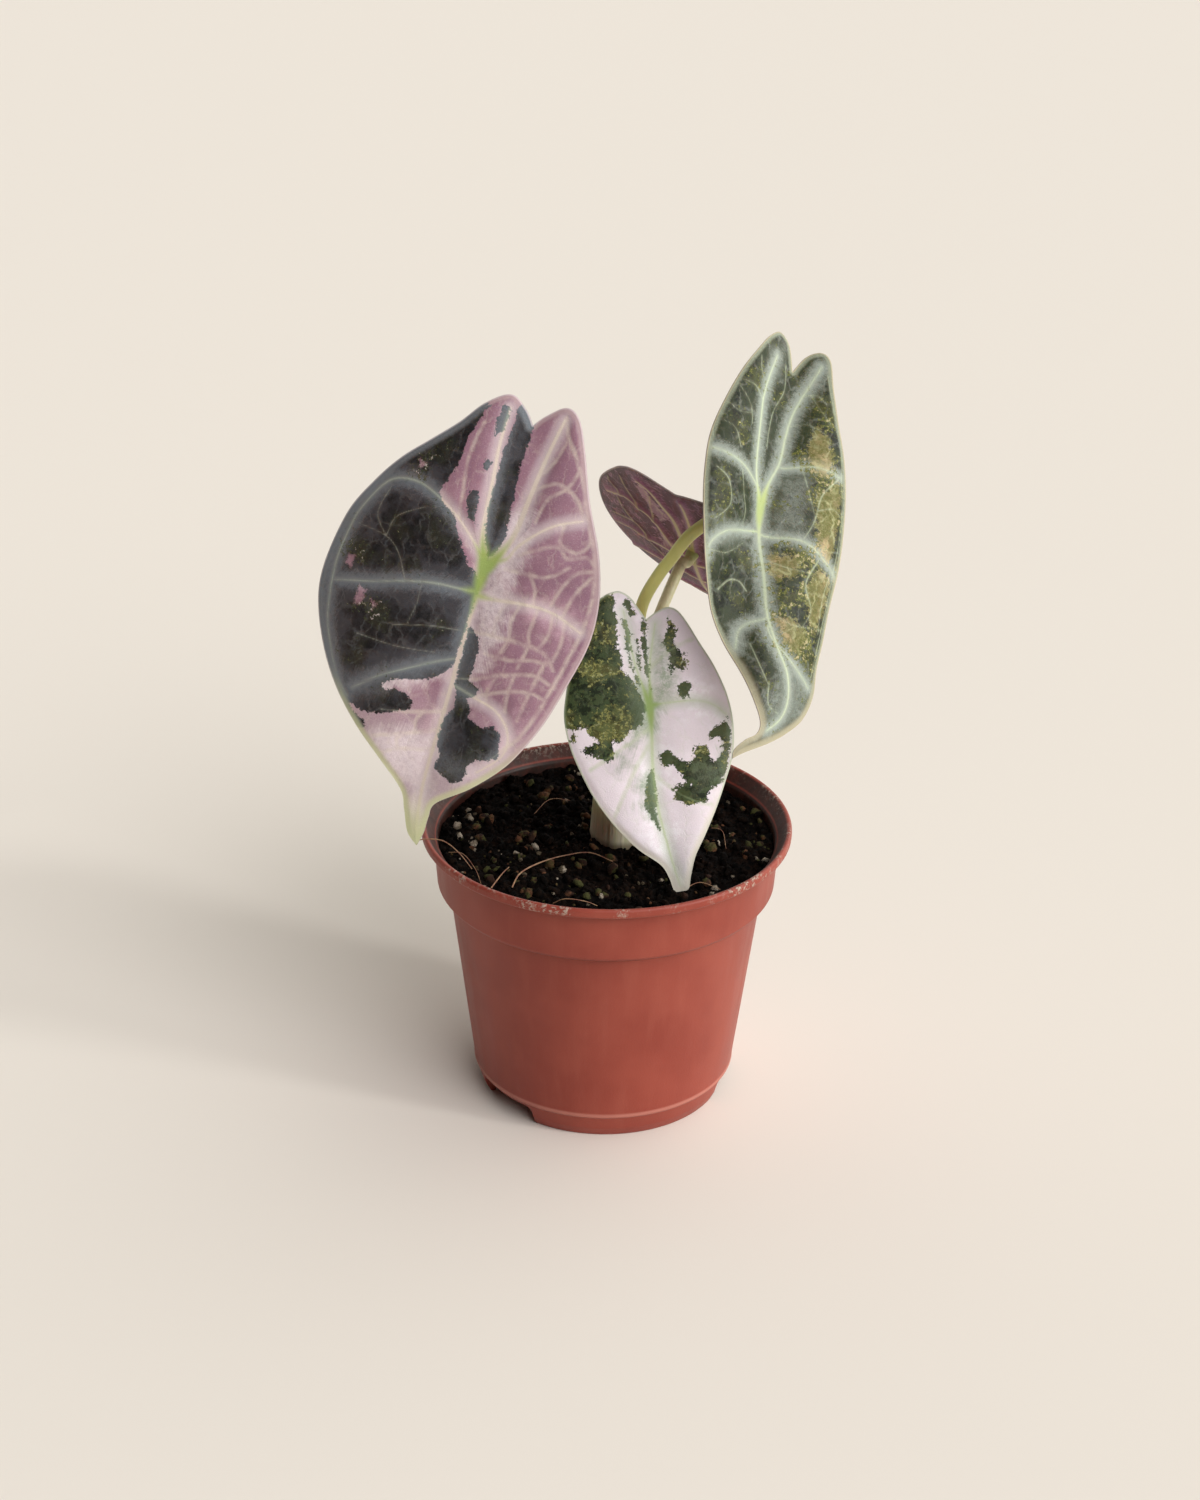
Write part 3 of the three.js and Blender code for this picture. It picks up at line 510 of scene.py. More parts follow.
root_hair, tree, shader = finish("root hair")
shade = noise(object_place(tree), 500, 2)
feed(shader.inputs["Base Color"], mixed(ramp(shade, 0.35, 0.65), tone(128, 84, 66), tone(158, 124, 92)))
shader.inputs["Roughness"].default_value = 0.6
fibre_paths = [
    (0.17, [(-22.1, -26.4, 66.6), (-20.5, -22.4, 68.0), (-15.7, -17.2, 68.4), (-9.8, -13.8, 68.6),
            (-3.9, -12.6, 68.8), (1.6, -14.3, 67.4)]),
    (0.15, [(-44.6, -11.4, 71.0), (-43.2, -12.1, 71.6), (-39.0, -13.5, 71.9), (-35.0, -16.4, 70.2),
            (-31.9, -17.6, 66.6)]),
    (0.13, [(-12.3, -34.9, 67.2), (-9.5, -36.3, 69.2), (-4.8, -36.6, 68.8), (-2.0, -35.0, 66.8)]),
    (0.16, [(-27.0, -26.8, 66.6), (-24.6, -22.4, 68.0), (-23.1, -16.9, 66.9)]),
    (0.11, [(-38.0, -9.0, 66.4), (-34.5, -12.5, 68.0), (-31.0, -19.0, 67.2), (-29.5, -24.0, 66.2)]),
    (0.10, [(18.0, -26.0, 66.2), (22.0, -24.5, 67.6), (27.0, -25.5, 66.4)]),
    (0.10, [(24.0, 6.0, 66.2), (28.0, 2.0, 67.8), (29.0, -5.0, 66.4)]),
    (0.09, [(-18.0, 12.0, 66.2), (-14.0, 17.0, 67.9), (-7.0, 19.0, 66.3)])]
fibre_taper = np.linspace(1.15, 0.6, 60)
fibre_parts = [tube(centripetal(path, len(fibre_taper)), radius * fibre_taper, 6)
               for radius, path in fibre_paths]
piece("root_fibres", *joined(fibre_parts), [root_hair], "peat_mix")

# Stem: a short fleshy corm neck, pale where the leaf sheaths wrap it, standing in the soil. The
# four stalks grow out of its top.
STEM_RADIUS, STEM_FOOT_Z, STEM_TOP_Z, STEM_TOP_RADIUS = 6.4, 53.0, 80.5, 5.7
stem_profile = rounded([(0, STEM_FOOT_Z), (4, 53.6), (5.9, 56), (STEM_RADIUS, 60), (6.5, 67), (6.25, 71.5),
                        (5.95, 76), (STEM_TOP_RADIUS, 79.2), (4.6, STEM_TOP_Z + 0.3), (0, 81.4)], 1.6, 8)
stem_points, stem_triangles = lathe(stem_profile, 96)
stem_turn = np.arctan2(stem_points[:, 1], stem_points[:, 0])
sheath = 1 + 0.022 * np.sin(3 * stem_turn + 0.09 * stem_points[:, 2]) + 0.008 * np.sin(17 * stem_turn)
stem_points[:, :2] = stem_points[:, :2] * sheath[:, None] + STEM_CENTRE
stem_points, stem_triangles = welded(stem_points, stem_triangles)[:2]

sheath_skin, tree, shader = finish("pale sheath")
where = object_place(tree)
rise = add(tree, "ShaderNodeSeparateXYZ", (0, where)).outputs["Z"]
streak = noise(stretched(where, (1, 1, 0.1)), 900, 3)
colour = mixed(ramp(rise, 0.068, 0.080), tone(222, 214, 186), tone(186, 192, 132))
colour = mixed(ramp(streak, 0.42, 0.7, 0, 0.5), colour, tone(164, 168, 112))
colour = mixed(ramp(rise, 0.0685, 0.0665, 0, 0.75), colour, tone(92, 74, 52))
coated(shader, colour, 0.45, streak, 0.00025, let_in=0.06)
stem = piece("stem_sheath", stem_points, stem_triangles, [sheath_skin], "pale_stem")
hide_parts("stem")

# Stalks: four slender round petioles, each growing from its own spot on the stem's top and
# meeting its blade from below, inside the edge. They are olive with faint lighter streaks.
STALK_FOOT_RADIUS, STALK_FOOT_SHARE, STALK_SIDES, STALK_RINGS = 2.05, 0.35, 20, 150
SEAT_GAP, BLADE_GAP, STRAIGHT_END = 0.3, 1.55, 1.6


def blade_axes(azimuth, elevation, roll):
    """Side, down and face directions of a blade: the face looks towards the azimuth and is tipped
    up by the elevation, and side and down lie in the blade, turned about the face by the roll."""
    az, el, turn = np.radians([azimuth, elevation, roll])
    face = np.array([np.sin(az) * np.cos(el), -np.cos(az) * np.cos(el), np.sin(el)])
    fall = np.array([0, 0, -1]) + face * face[2]
    fall /= np.linalg.norm(fall)
    level = np.cross(face, fall)
    down = fall * np.cos(turn) + level * np.sin(turn)
    side = level * np.cos(turn) - fall * np.sin(turn)
    return side, down, face


def store(made, label, values):
    """A number or a vector for each vertex, kept on the mesh under a label for its material."""
    kind, key = ("FLOAT", "value") if values.ndim == 1 else ("FLOAT_VECTOR", "vector")
    made.data.attributes.new(label, kind, "POINT").data.foreach_set(key, values.ravel())


def stored(tree, label, output="Fac"):
    """What `store` kept under a label, as a number or, with the output "Vector", as a vector."""
    return add(tree, "ShaderNodeAttribute", attribute_name=label, attribute_type="GEOMETRY").outputs[output]


stalk_skin, tree, shader = finish("olive stalk")
where = object_place(tree)
along, pale = stored(tree, "along"), stored(tree, "pale")
streak = noise(stretched(where, (1, 1, 0.09)), 1500, 3)
blotch = noise(where, 170, 3)
colour = mixed(pale, tone(212, 210, 124), tone(238, 230, 192))
colour = mixed(ramp(blotch, 0.4, 0.7, 0, 0.35), colour, tone(178, 180, 102))
colour = mixed(ramp(streak, 0.45, 0.75, 0, 0.45), colour, tone(196, 196, 130))
colour = mixed(ramp(along, 0.3, 0.0, 0, 0.75), colour, tone(206, 192, 168))
colour = mixed(ramp(along, 0.93, 1.0, 0, 0.7), colour, tone(140, 158, 58))
coated(shader, colour, 0.38, streak, 0.00012, let_in=0.05)


def stalk(name, foot, attach, facing, radius, path, paleness):
    """A petiole: a round tube along the curve from its foot through the path to the blade, which
    it meets square to the face. It is wider towards its foot by the square of the distance left,
    with a slight flare at the blade."""
    face = blade_axes(*facing)[2]
    foot = np.array([*(STEM_CENTRE + foot), STEM_TOP_Z + SEAT_GAP])
    end = np.array(attach) - BLADE_GAP * face
    spots = [foot, foot + (0, 0, 2), *path, end - STRAIGHT_END * face, end, end + face]
    line = centripetal(spots, STALK_RINGS)
    line[0] -= (0, 0, 0.8)
    share = np.linspace(0, 1, len(line))
    foot_swell = (STALK_FOOT_RADIUS - radius) * np.maximum(0, 1 - share / STALK_FOOT_SHARE) ** 2
    flare = 0.25 * np.exp(-((1 - share) / 0.02) ** 2)
    points, triangles = tube(line, radius + foot_swell + flare, STALK_SIDES)
    made = piece(f"stalk_{name}", points, triangles, [stalk_skin], "green_stalk")
    reach = np.abs(points[:, None] - line[None]).sum(2).argmin(1) / len(line)
    store(made, "along", reach)
    store(made, "pale", np.full(len(points), paleness))
    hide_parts(f"petiole_{name}")


LEFT_PLACE = ([-29.2, -1.5, 137.4], (-15, 20, -14))
CENTRE_PLACE = ([9.6, -15, 108.9], (0, 20, 9))
RIGHT_PLACE = ([34.1, -2, 153.6], (30, 33, -33))
BACK_PLACE = ([20.3, 29, 129.9], (142, 37, 15))
stalk("left", (-3.3, 0), *LEFT_PLACE, 1.9,
      [(-4, 3.5, 92), (-7.5, 6, 112), (-14, 7.5, 127), (-22, 5.5, 136)], 0.2)
stalk("centre", (0, -3.3), *CENTRE_PLACE, 1.5, [(3.2, -3.5, 88), (4.6, -5.5, 97), (6.8, -8.6, 105.5)], 0.5)
stalk("right", (3.3, 0), *RIGHT_PLACE, 1.5,
      [(6, 1.6, 92), (6.2, 1.8, 110), (7.5, 2, 126.8), (10.9, 1.8, 134.3), (14, 1.3, 139.1), (18.7, 0.2, 146),
       (26.9, -0.8, 151.6)], 0.0)
stalk("back", (0, 3.3), *BACK_PLACE, 1.4,
      [(3.2, 6, 92), (7.3, 9, 108), (12.7, 14, 121.7), (15.8, 19.5, 127.4), (17.2, 23.2, 129)], 0.85)

# Variegation: what all four blades share. Green tissue fades out over paler tissue in ragged
# patches, a silver bloom lies along the veins, and a fine net of veinlets quilts the surface.
VALUE, VECTOR, COLOUR = "NodeSocketFloat", "NodeSocketVector", "NodeSocketColor"
FIELDS = {"Veins": 9, "Laterals": 9, "Margin": 9, "Dark": 0, "Haze": -9, "Blush": -9}
TONES = ("Ground", "Ground Shade", "Ground Pale", "Ground Haze", "Ground Vein", "Green", "Green Shade",
         "Green Vein", "Bloom", "Fleck", "Rim", "Green Rim", "Heart", "Tip")
AMOUNTS = {"Ragged": 1, "Speckle": 0.6, "Mottle": 0, "Crown Shade": 0, "Bloom Reach": 2, "Bloom Amount": 1,
           "Flecks": 0, "Rim Width": 1.5, "Heart Reach": 7, "Tip From": 90, "Net": 0.5, "Green Net": 0.5}


def effect(name, inputs, outputs):
    """An empty shader node group with the given (name, kind, value) inputs and (name, kind) outputs."""
    group = bpy.data.node_groups.new(name, "ShaderNodeTree")
    for label, kind, value in inputs:
        group.interface.new_socket(label, in_out="INPUT", socket_type=kind).default_value = value
    for label, kind in outputs:
        group.interface.new_socket(label, in_out="OUTPUT", socket_type=kind)
    return group, group.nodes.new("NodeGroupInput"), group.nodes.new("NodeGroupOutput")


variegation, given, result = effect(
    "variegation",
    [("Where", VECTOR, (0, 0, 0)), ("Weave", VECTOR, (0, 0, 0))]
    + [(label, VALUE, value) for label, value in (FIELDS | AMOUNTS).items()]
    + [(label, COLOUR, (1, 1, 1, 1)) for label in TONES],
    [("Color", COLOUR), ("Height", VALUE)])
tree, sockets = variegation, given.outputs
where, veins, laterals, margin = (sockets[label] for label in ("Where", "Veins", "Laterals", "Margin"))


def swing(value, reach, middle=0.5):
    """A noise made to swing about zero: (value - middle) * reach."""
    return times(plus(value, -middle), reach)


def laid(under, over, share):
    """A colour laid over another by a share; over is the name of an input or a colour."""
    return mixed(share, under, sockets[over] if isinstance(over, str) else over)


# Noises from broad clouds to fine grain, and the net of veinlets.
place = add(tree, "ShaderNodeSeparateXYZ", (0, where)).outputs
u, v = place["X"], place["Y"]
broad = noise(where, 0.12, 3)
cloudy = noise(where, 0.32, 4, 0.6)
torn = noise(where, 0.42, 9, 0.74)
patchy = noise(where, 0.85, 5, 0.66)
speckled = noise(where, 1.6, 5, 0.7)
grainy = noise(where, 3.0, 4, 0.7)
streaky = noise(stretched(sockets["Weave"], (1.0, 0.22, 1.0)), 2.0, 4, 0.65)
sway = add(tree, "ShaderNodeTexNoise", ("Vector", where), ("Scale", 0.45), ("Detail", 4.0)).outputs["Color"]
drift = add(tree, "ShaderNodeVectorMath", (0, sway), ("Scale", 3.0), operation="SCALE").outputs[0]
swayed = add(tree, "ShaderNodeVectorMath", (0, where), (1, drift)).outputs[0]
swayed = stretched(swayed, (1.0, 0.62, 1.0))
cells, small_cells = (add(tree, "ShaderNodeTexVoronoi", ("Vector", swayed), ("Scale", scale),
                          feature="DISTANCE_TO_EDGE").outputs["Distance"] for scale in (0.26, 0.75))
net = plus(ramp(cells, 0.10, 0.0), times(ramp(small_cells, 0.22, 0.0, 0, 0.6), 0.4))
net = times(net, ramp(cloudy, 0.38, 0.62, 0.1, 1.0))

# Where the tissue is green, and where a haze of silver or white lies over it.
ragged = plus(swing(torn, times(sockets["Ragged"], 2.0)), swing(speckled, times(sockets["Speckle"], 4.0)))
green = ramp(plus(sockets["Dark"], ragged), -0.07, 0.09)
haze = ramp(plus(sockets["Haze"], swing(plus(streaky, cloudy), 6.0, 1.0)), -2.2, 2.6)
haze = times(haze, ramp(plus(grainy, patchy), 0.75, 1.15, 0.45, 1.0))

# The pale ground, darker between the veins and at the crown, lighter at the veins and the tip.
ground = laid(sockets["Ground"], "Ground Shade", ramp(broad, 0.38, 0.62))
ground = laid(ground, "Ground Shade", ramp(plus(veins, swing(cloudy, 9.0)), 1.5, 5.5, 0, 0.7))
ground = laid(ground, "Ground Shade", times(ramp(v, 4.0, -26.0), sockets["Crown Shade"]))
ground = laid(ground, "Ground Shade", times(ramp(torn, 0.46, 0.54), sockets["Mottle"]))
ground = laid(ground, "Ground Pale", ramp(v, 26.0, 56.0, 0, 0.5))
ground = laid(ground, "Ground Shade", ramp(grainy, 0.42, 0.7, 0, 0.35))
ground = laid(ground, "Ground Pale", ramp(grainy, 0.48, 0.3, 0, 0.22))
ground = laid(ground, "Ground Pale", ramp(veins, 2.6, 0.2, 0, 0.45))
ground = laid(ground, "Ground Haze", times(haze, 0.85))
ground = laid(ground, "Ground Vein", times(net, sockets["Net"]))

# The green tissue, with the bloom along its veins and net, and its flecks.
depth = plus(veins, swing(plus(cloudy, broad), 16.0, 1.0))
dark = laid(sockets["Green"], "Green Shade", ramp(depth, 7.0, 1.0, 0, 0.85))
dark = laid(dark, "Green Shade", times(ramp(torn, 0.47, 0.53), sockets["Mottle"]))
dark = laid(dark, "Fleck", ramp(broad, 0.5, 0.68, 0, 0.25))
dark = laid(dark, "Green Shade", ramp(grainy, 0.5, 0.72, 0, 0.28))
dark = laid(dark, "Green", ramp(grainy, 0.46, 0.3, 0, 0.3))
near = math_node("DIVIDE", math_node("MAXIMUM", veins, 0.0), sockets["Bloom Reach"])
near = plus(near, plus(swing(streaky, 0.7), swing(plus(patchy, grainy), 0.9, 1.0)))
bloom = math_node("MAXIMUM", ramp(near, 1.05, 0.05), times(haze, 0.6))
dark = laid(dark, "Bloom", times(bloom, sockets["Bloom Amount"]))
dark = laid(dark, "Bloom", times(net, sockets["Green Net"]))
fleck = plus(noise(where, 0.95, 5, 0.72), sockets["Flecks"])
fleck = plus(fleck, plus(ramp(sockets["Blush"], -6.0, 1.0, 0, 0.12), ramp(broad, 0.4, 0.6, -0.08, 0.06)))
dark = laid(dark, "Fleck", times(ramp(fleck, 1.0, 1.04), ramp(cloudy, 0.36, 0.52, 0.25, 1.0)))
dark = laid(dark, "Ground Pale", ramp(fleck, 1.08, 1.14, 0, 0.6))

# Both tissues together, then the veins, the rim with its painted edge sheen and highlight, the tip and the
# heart over them.
tissue = laid(ground, dark, green)
tissue = laid(tissue, ground, ramp(plus(sockets["Blush"], ragged), -0.4, 0.5, 0, 0.8))
vein_colour = laid(sockets["Ground Vein"], "Green Vein", green)
tissue = laid(tissue, vein_colour, ramp(veins, 0.7, 0.0, 0, 0.22))
tissue = laid(tissue, vein_colour, ramp(plus(veins, swing(grainy, 0.5)), 0.15, -0.25, 0, 0.85))
wide_lateral = times(ramp(laterals, 0.8, 0.0, 0, 0.42), plus(times(green, -0.85), 1.0))
lateral = math_node("MAXIMUM", wide_lateral, ramp(laterals, 0.3, -0.14, 0, 0.62))
tissue = laid(tissue, vein_colour, times(lateral, ramp(cloudy, 0.36, 0.56, 0.45, 1.0)))
# The rim band along the margin is partly the margin's own colour and partly a painted sheen where light
# catches the turned edge.
rim = math_node("DIVIDE", plus(margin, swing(patchy, 0.7)), sockets["Rim Width"])
rim = times(rim, plus(times(green, -0.5), 1.5))
rim_and_edge_sheen_colour = laid(sockets["Rim"], "Green Rim", green)
tissue = laid(tissue, rim_and_edge_sheen_colour, times(ramp(rim, 1.1, 0.45, 0, 0.85), ramp(grainy, 0.3, 0.6, 0.6, 1.0)))
# A thin pale line along the very edge: a painted highlight where light catches the margin.
tissue = laid(tissue, "Ground Pale", ramp(margin, 0.45, 0.1, 0, 0.5))
past_tip = math_node("SUBTRACT", v, sockets["Tip From"])
tissue = laid(tissue, "Tip", ramp(past_tip, 0.0, 11.0, 0, 0.85))
tissue = laid(tissue, "Tip", times(ramp(past_tip, -22.0, -6.0, 0, 0.75), ramp(margin, 2.0, 0.6)))
from_heart = math_node("SQRT", plus(times(times(u, u), 5.0), times(v, v)))
from_heart = math_node("DIVIDE", plus(from_heart, times(veins, 4.0)), sockets["Heart Reach"])
tissue = laid(tissue, "Heart", ramp(from_heart, 1.0, 0.15, 0, 0.9))
feed(result.inputs["Color"], tissue)
quilt = plus(times(grainy, 0.6), times(times(net, sockets["Green Net"]), -1.5))
feed(result.inputs["Height"], quilt)


def blade_finish(name, roughness, depth, **values):
    """A blade's material: the variegation effect with this blade's own tones, fed by the fields
    that are stored on its mesh in millimetres of the flat blade."""
    material, tree, shader = finish(name)
    fields = [("Where", stored(tree, "flat", "Vector")), ("Weave", stored(tree, "weave", "Vector"))]
    fields += [(field, stored(tree, field.lower())) for field in FIELDS]
    group = add(tree, "ShaderNodeGroup", *fields, node_tree=variegation)
    for label, value in values.items():
        socket = group.inputs[label.replace("_", " ").title()]
        socket.default_value = (*tone(*value), 1) if isinstance(value, tuple) else value
    coated(shader, group.outputs["Color"], roughness, group.outputs["Height"], depth, shine=0.28, let_in=0.04)
    return material


def smooth_curve(points):
    """A uniform Catmull-Rom curve through the points as close-set places, with each place's share
    of the whole length. Tangents are half the chord between the neighbours."""
    p = np.asarray(points, float)
    ends = np.vstack([p[:1], p, p[-1:]])
    t = np.linspace(0, len(p) - 1, 1600)
    i = np.minimum(t.astype(int), len(p) - 2)
    w = (t - i)[:, None]
    a, b, c, d = (ends[i + k] for k in range(4))
    path = b + 0.5 * w * (c - a + w * (2 * a - 5 * b + 4 * c - d + w * (3 * (b - c) + d - a)))
    reach = np.r_[0, np.cumsum(np.linalg.norm(np.diff(path, axis=0), axis=1))]
    return path, reach / reach[-1]


def place_at(curve, share):
    """The places at the given shares of a curve's length."""
    path, reach = curve
    return np.stack([np.interp(share, reach, path[:, 0]), np.interp(share, reach, path[:, 1])], -1)


def line_distance(flat, points, start_width=0.0, end_width=0.0):
    """Millimetres from each place to a line whose half width goes evenly from one end to the
    other: to each of its segments, at the nearest spot along it, and the least of those."""
    least = np.full(len(flat), 99.0)
    steps = len(points) - 1
    for k, (a, b) in enumerate(zip(points[:-1], points[1:])):
        along = np.clip((flat - a) @ (b - a) / max((b - a) @ (b - a), 1e-9), 0, 1)
        width = start_width + (end_width - start_width) * (k + along) / steps
        least = np.minimum(least, np.linalg.norm(flat - a - along[:, None] * (b - a), axis=1) - width)
    return least


def vein_distance(flat, veins):
    """The least line distance to any of the (half width, end half width, points) veins."""
    least = np.full(len(flat), 99.0)
    for start_width, end_width, points in veins:
        path = smooth_curve(points)[0][::1600 // (8 * len(points))]
        least = np.minimum(least, line_distance(flat, path, start_width, end_width))
    return least


def patch_depth(flat, patches):
    """Millimetres inside the nearest edge of the outlined patches, and below zero outside: the
    distance to the closed line, signed by how often a ray along u crosses it."""
    deepest = np.full(len(flat), -9.0)
    for patch in patches:
        corner = np.array(patch, float)
        following = np.roll(corner, -1, axis=0)
        crossings = np.zeros(len(flat), int)
        for (au, av), (bu, bv) in zip(corner, following):
            spans = (av > flat[:, 1]) != (bv > flat[:, 1])
            at_u = au + (flat[:, 1] - av) * (bu - au) / (bv - av + 1e-12)
            crossings += spans & (flat[:, 0] < at_u)
        away = line_distance(flat, np.vstack([corner, corner[:1]]))
        deepest = np.maximum(deepest, np.where(crossings % 2 == 1, away, -away))
    return deepest


def blade_height(form, flat):
    """Height above the blade's plane: a valley along the midrib, margins that droop by the square
    of u, and an arch by the square of v towards the tip and over the lobes. The form holds the
    depth and the width or length of each."""
    valley, valley_width, droop, half_width, tip_arch, tip_length, lobe_arch, lobe_length = form
    u, v = flat.T
    arch = np.where(v > 0, tip_arch * (v / tip_length) ** 2, lobe_arch * (v / lobe_length) ** 2)
    return valley * (1 - np.exp(-(u / valley_width) ** 2)) - droop * (u / half_width) ** 2 - arch


def blade(name, place, form, midrib, margins, ribs, veins, laterals, dark, haze, blush, materials, slot,
          rows=300, top_columns=100, under_columns=34, curl=0.0):
    """A blade: rows run from the midrib to the margin as quadratic Bezier curves, bowed by the
    ribs' numbers, on the upper side, round the edge and back along the underside. Main veins are
    sunk on top and stand out below, each by a bell of its distance, exp(-(distance / width)^2),
    which fades out at the margin; the tissue between them swells, and the margin waves by curl."""
    start, left_end, left_bow, right_end, right_bow = np.array(
        [(1, 0, 0, 0, 0), *ribs, (0, 1, 0, 1, 0)], float).T
    knot = np.arange(len(start))
    step = np.interp(np.linspace(0, 1, rows), (left_end + right_end) / 2, knot)
    roots = place_at(smooth_curve(midrib), np.interp(step, knot, start))
    top_share = np.linspace(0, 1, top_columns) ** 0.94
    under_share = np.linspace(1, 0, under_columns) ** 0.94
    share = np.concatenate([top_share, [1.0], under_share])
    below = np.concatenate([np.zeros(top_columns), [0.5], np.ones(under_columns)])
    flats, triangles, faces, weaves = [], [], [], []
    strip = grid_triangles(rows, len(share))
    is_under = (np.arange(len(strip)) // 2) % (len(share) - 1) >= top_columns - 1
    for sign, end, bow, margin in ((-1, left_end, left_bow, margins[0]),
                                   (1, right_end, right_bow, margins[1])):
        tips = place_at(smooth_curve(margin), np.interp(step, knot, end))
        reach = tips - roots
        bend = np.stack([-reach[:, 1], reach[:, 0]], -1) * (-2 * sign * np.interp(step, knot, bow))[:, None]
        middle = (roots + tips) / 2 + bend
        s = share[None, :, None]
        weaves.append(np.stack([np.linspace(0, 130, rows)[:, None] * (0.35 + 0.65 * share) + 300 * (sign + 2),
                                np.linalg.norm(reach, axis=1)[:, None] * share], -1).reshape(-1, 2))
        flats.append((roots[:, None] * (1 - s) ** 2 + 2 * s * (1 - s) * middle[:, None]
                      + s ** 2 * tips[:, None]).reshape(-1, 2))
        triangles.append((strip if sign > 0 else strip[:, ::-1]) + len(triangles) * rows * len(share))
        faces.append(is_under)
    flat = np.vstack(flats)
    under = np.tile(below, rows * 2)
    outline = np.vstack([smooth_curve(margins[0])[0][::7], smooth_curve(margins[1])[0][::-7]])
    fields = {"veins": vein_distance(flat, veins), "laterals": vein_distance(flat, laterals),
              "margin": line_distance(flat, outline), "dark": patch_depth(flat, dark),
              "haze": patch_depth(flat, haze), "blush": patch_depth(flat, blush)}
    vein, lateral, edge = (np.maximum(fields[k], 0) for k in ("veins", "laterals", "margin"))
    full = 1 - np.exp(-(edge / 1.2) ** 2)
    top = 0.14 + full * (0.34 * (1 - np.exp(-(vein / 2.0) ** 2)) + 0.12 * (1 - np.exp(-(lateral / 1.1) ** 2))
                         + 0.10 * lattice_noise(flat[:, 0], flat[:, 1], 4.2, len(name)))
    bottom = -0.16 - full * (0.10 + 0.62 * np.exp(-(vein / 0.75) ** 2) + 0.22 * np.exp(-(lateral / 0.5) ** 2))
    relief = np.where(under == 0, top, np.where(under == 1, bottom, -0.01))
    wave = curl * np.exp(-(edge / 4.0) ** 2) * (0.5 + 0.5 * lattice_noise(flat[:, 0], flat[:, 1], 13.0, 3))
    height = blade_height(form, flat) + relief - wave
    attach, facing = place
    side, down, face = blade_axes(*facing)
    points = np.array(attach) + flat[:, :1] * side + flat[:, 1:] * down + height[:, None] * face
    points, tris, first, whole = welded(points, np.vstack(triangles))
    made = piece(f"blade_{name}", points, tris, materials, slot, np.concatenate(faces)[whole])
    layer = 40.0 * len(name) + under
    fields |= {"flat": np.column_stack([flat, layer]), "weave": np.column_stack([np.vstack(weaves), layer])}
    for label, values in fields.items():
        store(made, label, values[first])
    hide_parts(f"leaf_{name}")


# Left leaf: the largest blade, pink to mauve on its right and near-black green on its left, with
# cream veins, a green heart where the stalk joins and a rolled blue-grey margin on the left.
underside = blade_finish(
    "blade underside", 0.5, 0.00018, ground_haze=(214, 190, 186), ground=(206, 164, 182),
    ground_shade=(164, 124, 148), ground_pale=(214, 190, 186), ground_vein=(214, 206, 176),
    green=(32, 16, 30), green_shade=(70, 44, 66), bloom=(160, 116, 150), green_vein=(208, 200, 152),
    fleck=(160, 116, 146), rim=(130, 106, 112), green_rim=(40, 30, 38), heart=(164, 168, 96),
    tip=(150, 140, 120), ragged=1.6, speckle=0.4, mottle=0.4, bloom_reach=2.2, bloom_amount=0.7,
    flecks=0.40, rim_width=0.8, heart_reach=6.0, net=0.7, green_net=0.4)
pink_top = blade_finish(
    "pink and black-green blade", 0.5, 0.00014, ground_haze=(234, 218, 220), ground=(184, 145, 158),
    ground_shade=(140, 102, 120), ground_pale=(234, 218, 220), ground_vein=(224, 208, 192),
    green=(19, 19, 22), green_shade=(58, 62, 70), bloom=(122, 130, 138), green_vein=(156, 164, 152),
    fleck=(58, 66, 46), rim=(184, 156, 158), green_rim=(112, 120, 128), heart=(150, 174, 84),
    tip=(212, 214, 166), ragged=1.5, speckle=0.55, mottle=0.18, crown_shade=0.85, bloom_reach=3.0,
    bloom_amount=0.6, flecks=0.36, rim_width=2.1, heart_reach=13.0, tip_from=55.0, net=0.16, green_net=0.16)
LEFT_FORM = (2, 8, 4, 34, 6, 69, 6, 41)
LEFT_MIDRIB = [(0, 0), (0, 8), (0.5, 18), (1.5, 29), (1.8, 38), (2, 47), (2.2, 54), (3.4, 61), (5, 68.6)]
LEFT_MARGINS = (
    [(5, 68.6), (1.8, 66.4), (-0.6, 61.5), (-3, 57), (-10, 51.5), (-18, 46), (-25.5, 39.5), (-32, 31.5),
     (-37, 22), (-38.4, 13), (-37, 0), (-33, -9.5), (-28.5, -17), (-23, -23.5), (-18, -29.5), (-14, -35.5),
     (-9, -39.5), (-4.5, -37.5), (-1.5, -34.5)],
    [(5, 68.6), (5.8, 65), (5.8, 61), (6.5, 57), (13.5, 50.5), (19.5, 43), (23, 36), (25.5, 28.5),
     (27.5, 19), (29, 10), (29, 3), (27.5, -4.5), (24, -13), (18, -23), (12.5, -33.5), (8.5, -39.5),
     (4.5, -41), (0.5, -37.5), (-1.5, -34.5)])
LEFT_RIBS = [(0.8, 0.1, 0, 0.1, 0), (0.62, 0.15, 0.03, 0.18, 0.05), (0.46, 0.21, 0.04, 0.28, 0.1),
             (0.34, 0.28, 0.03, 0.37, 0.08), (0.2, 0.38, 0.03, 0.45, 0.05), (0.09, 0.49, 0.03, 0.53, 0.08),
             (0, 0.67, 0.16, 0.72, 0.05), (0, 0.93, -0.04, 0.92, -0.06)]
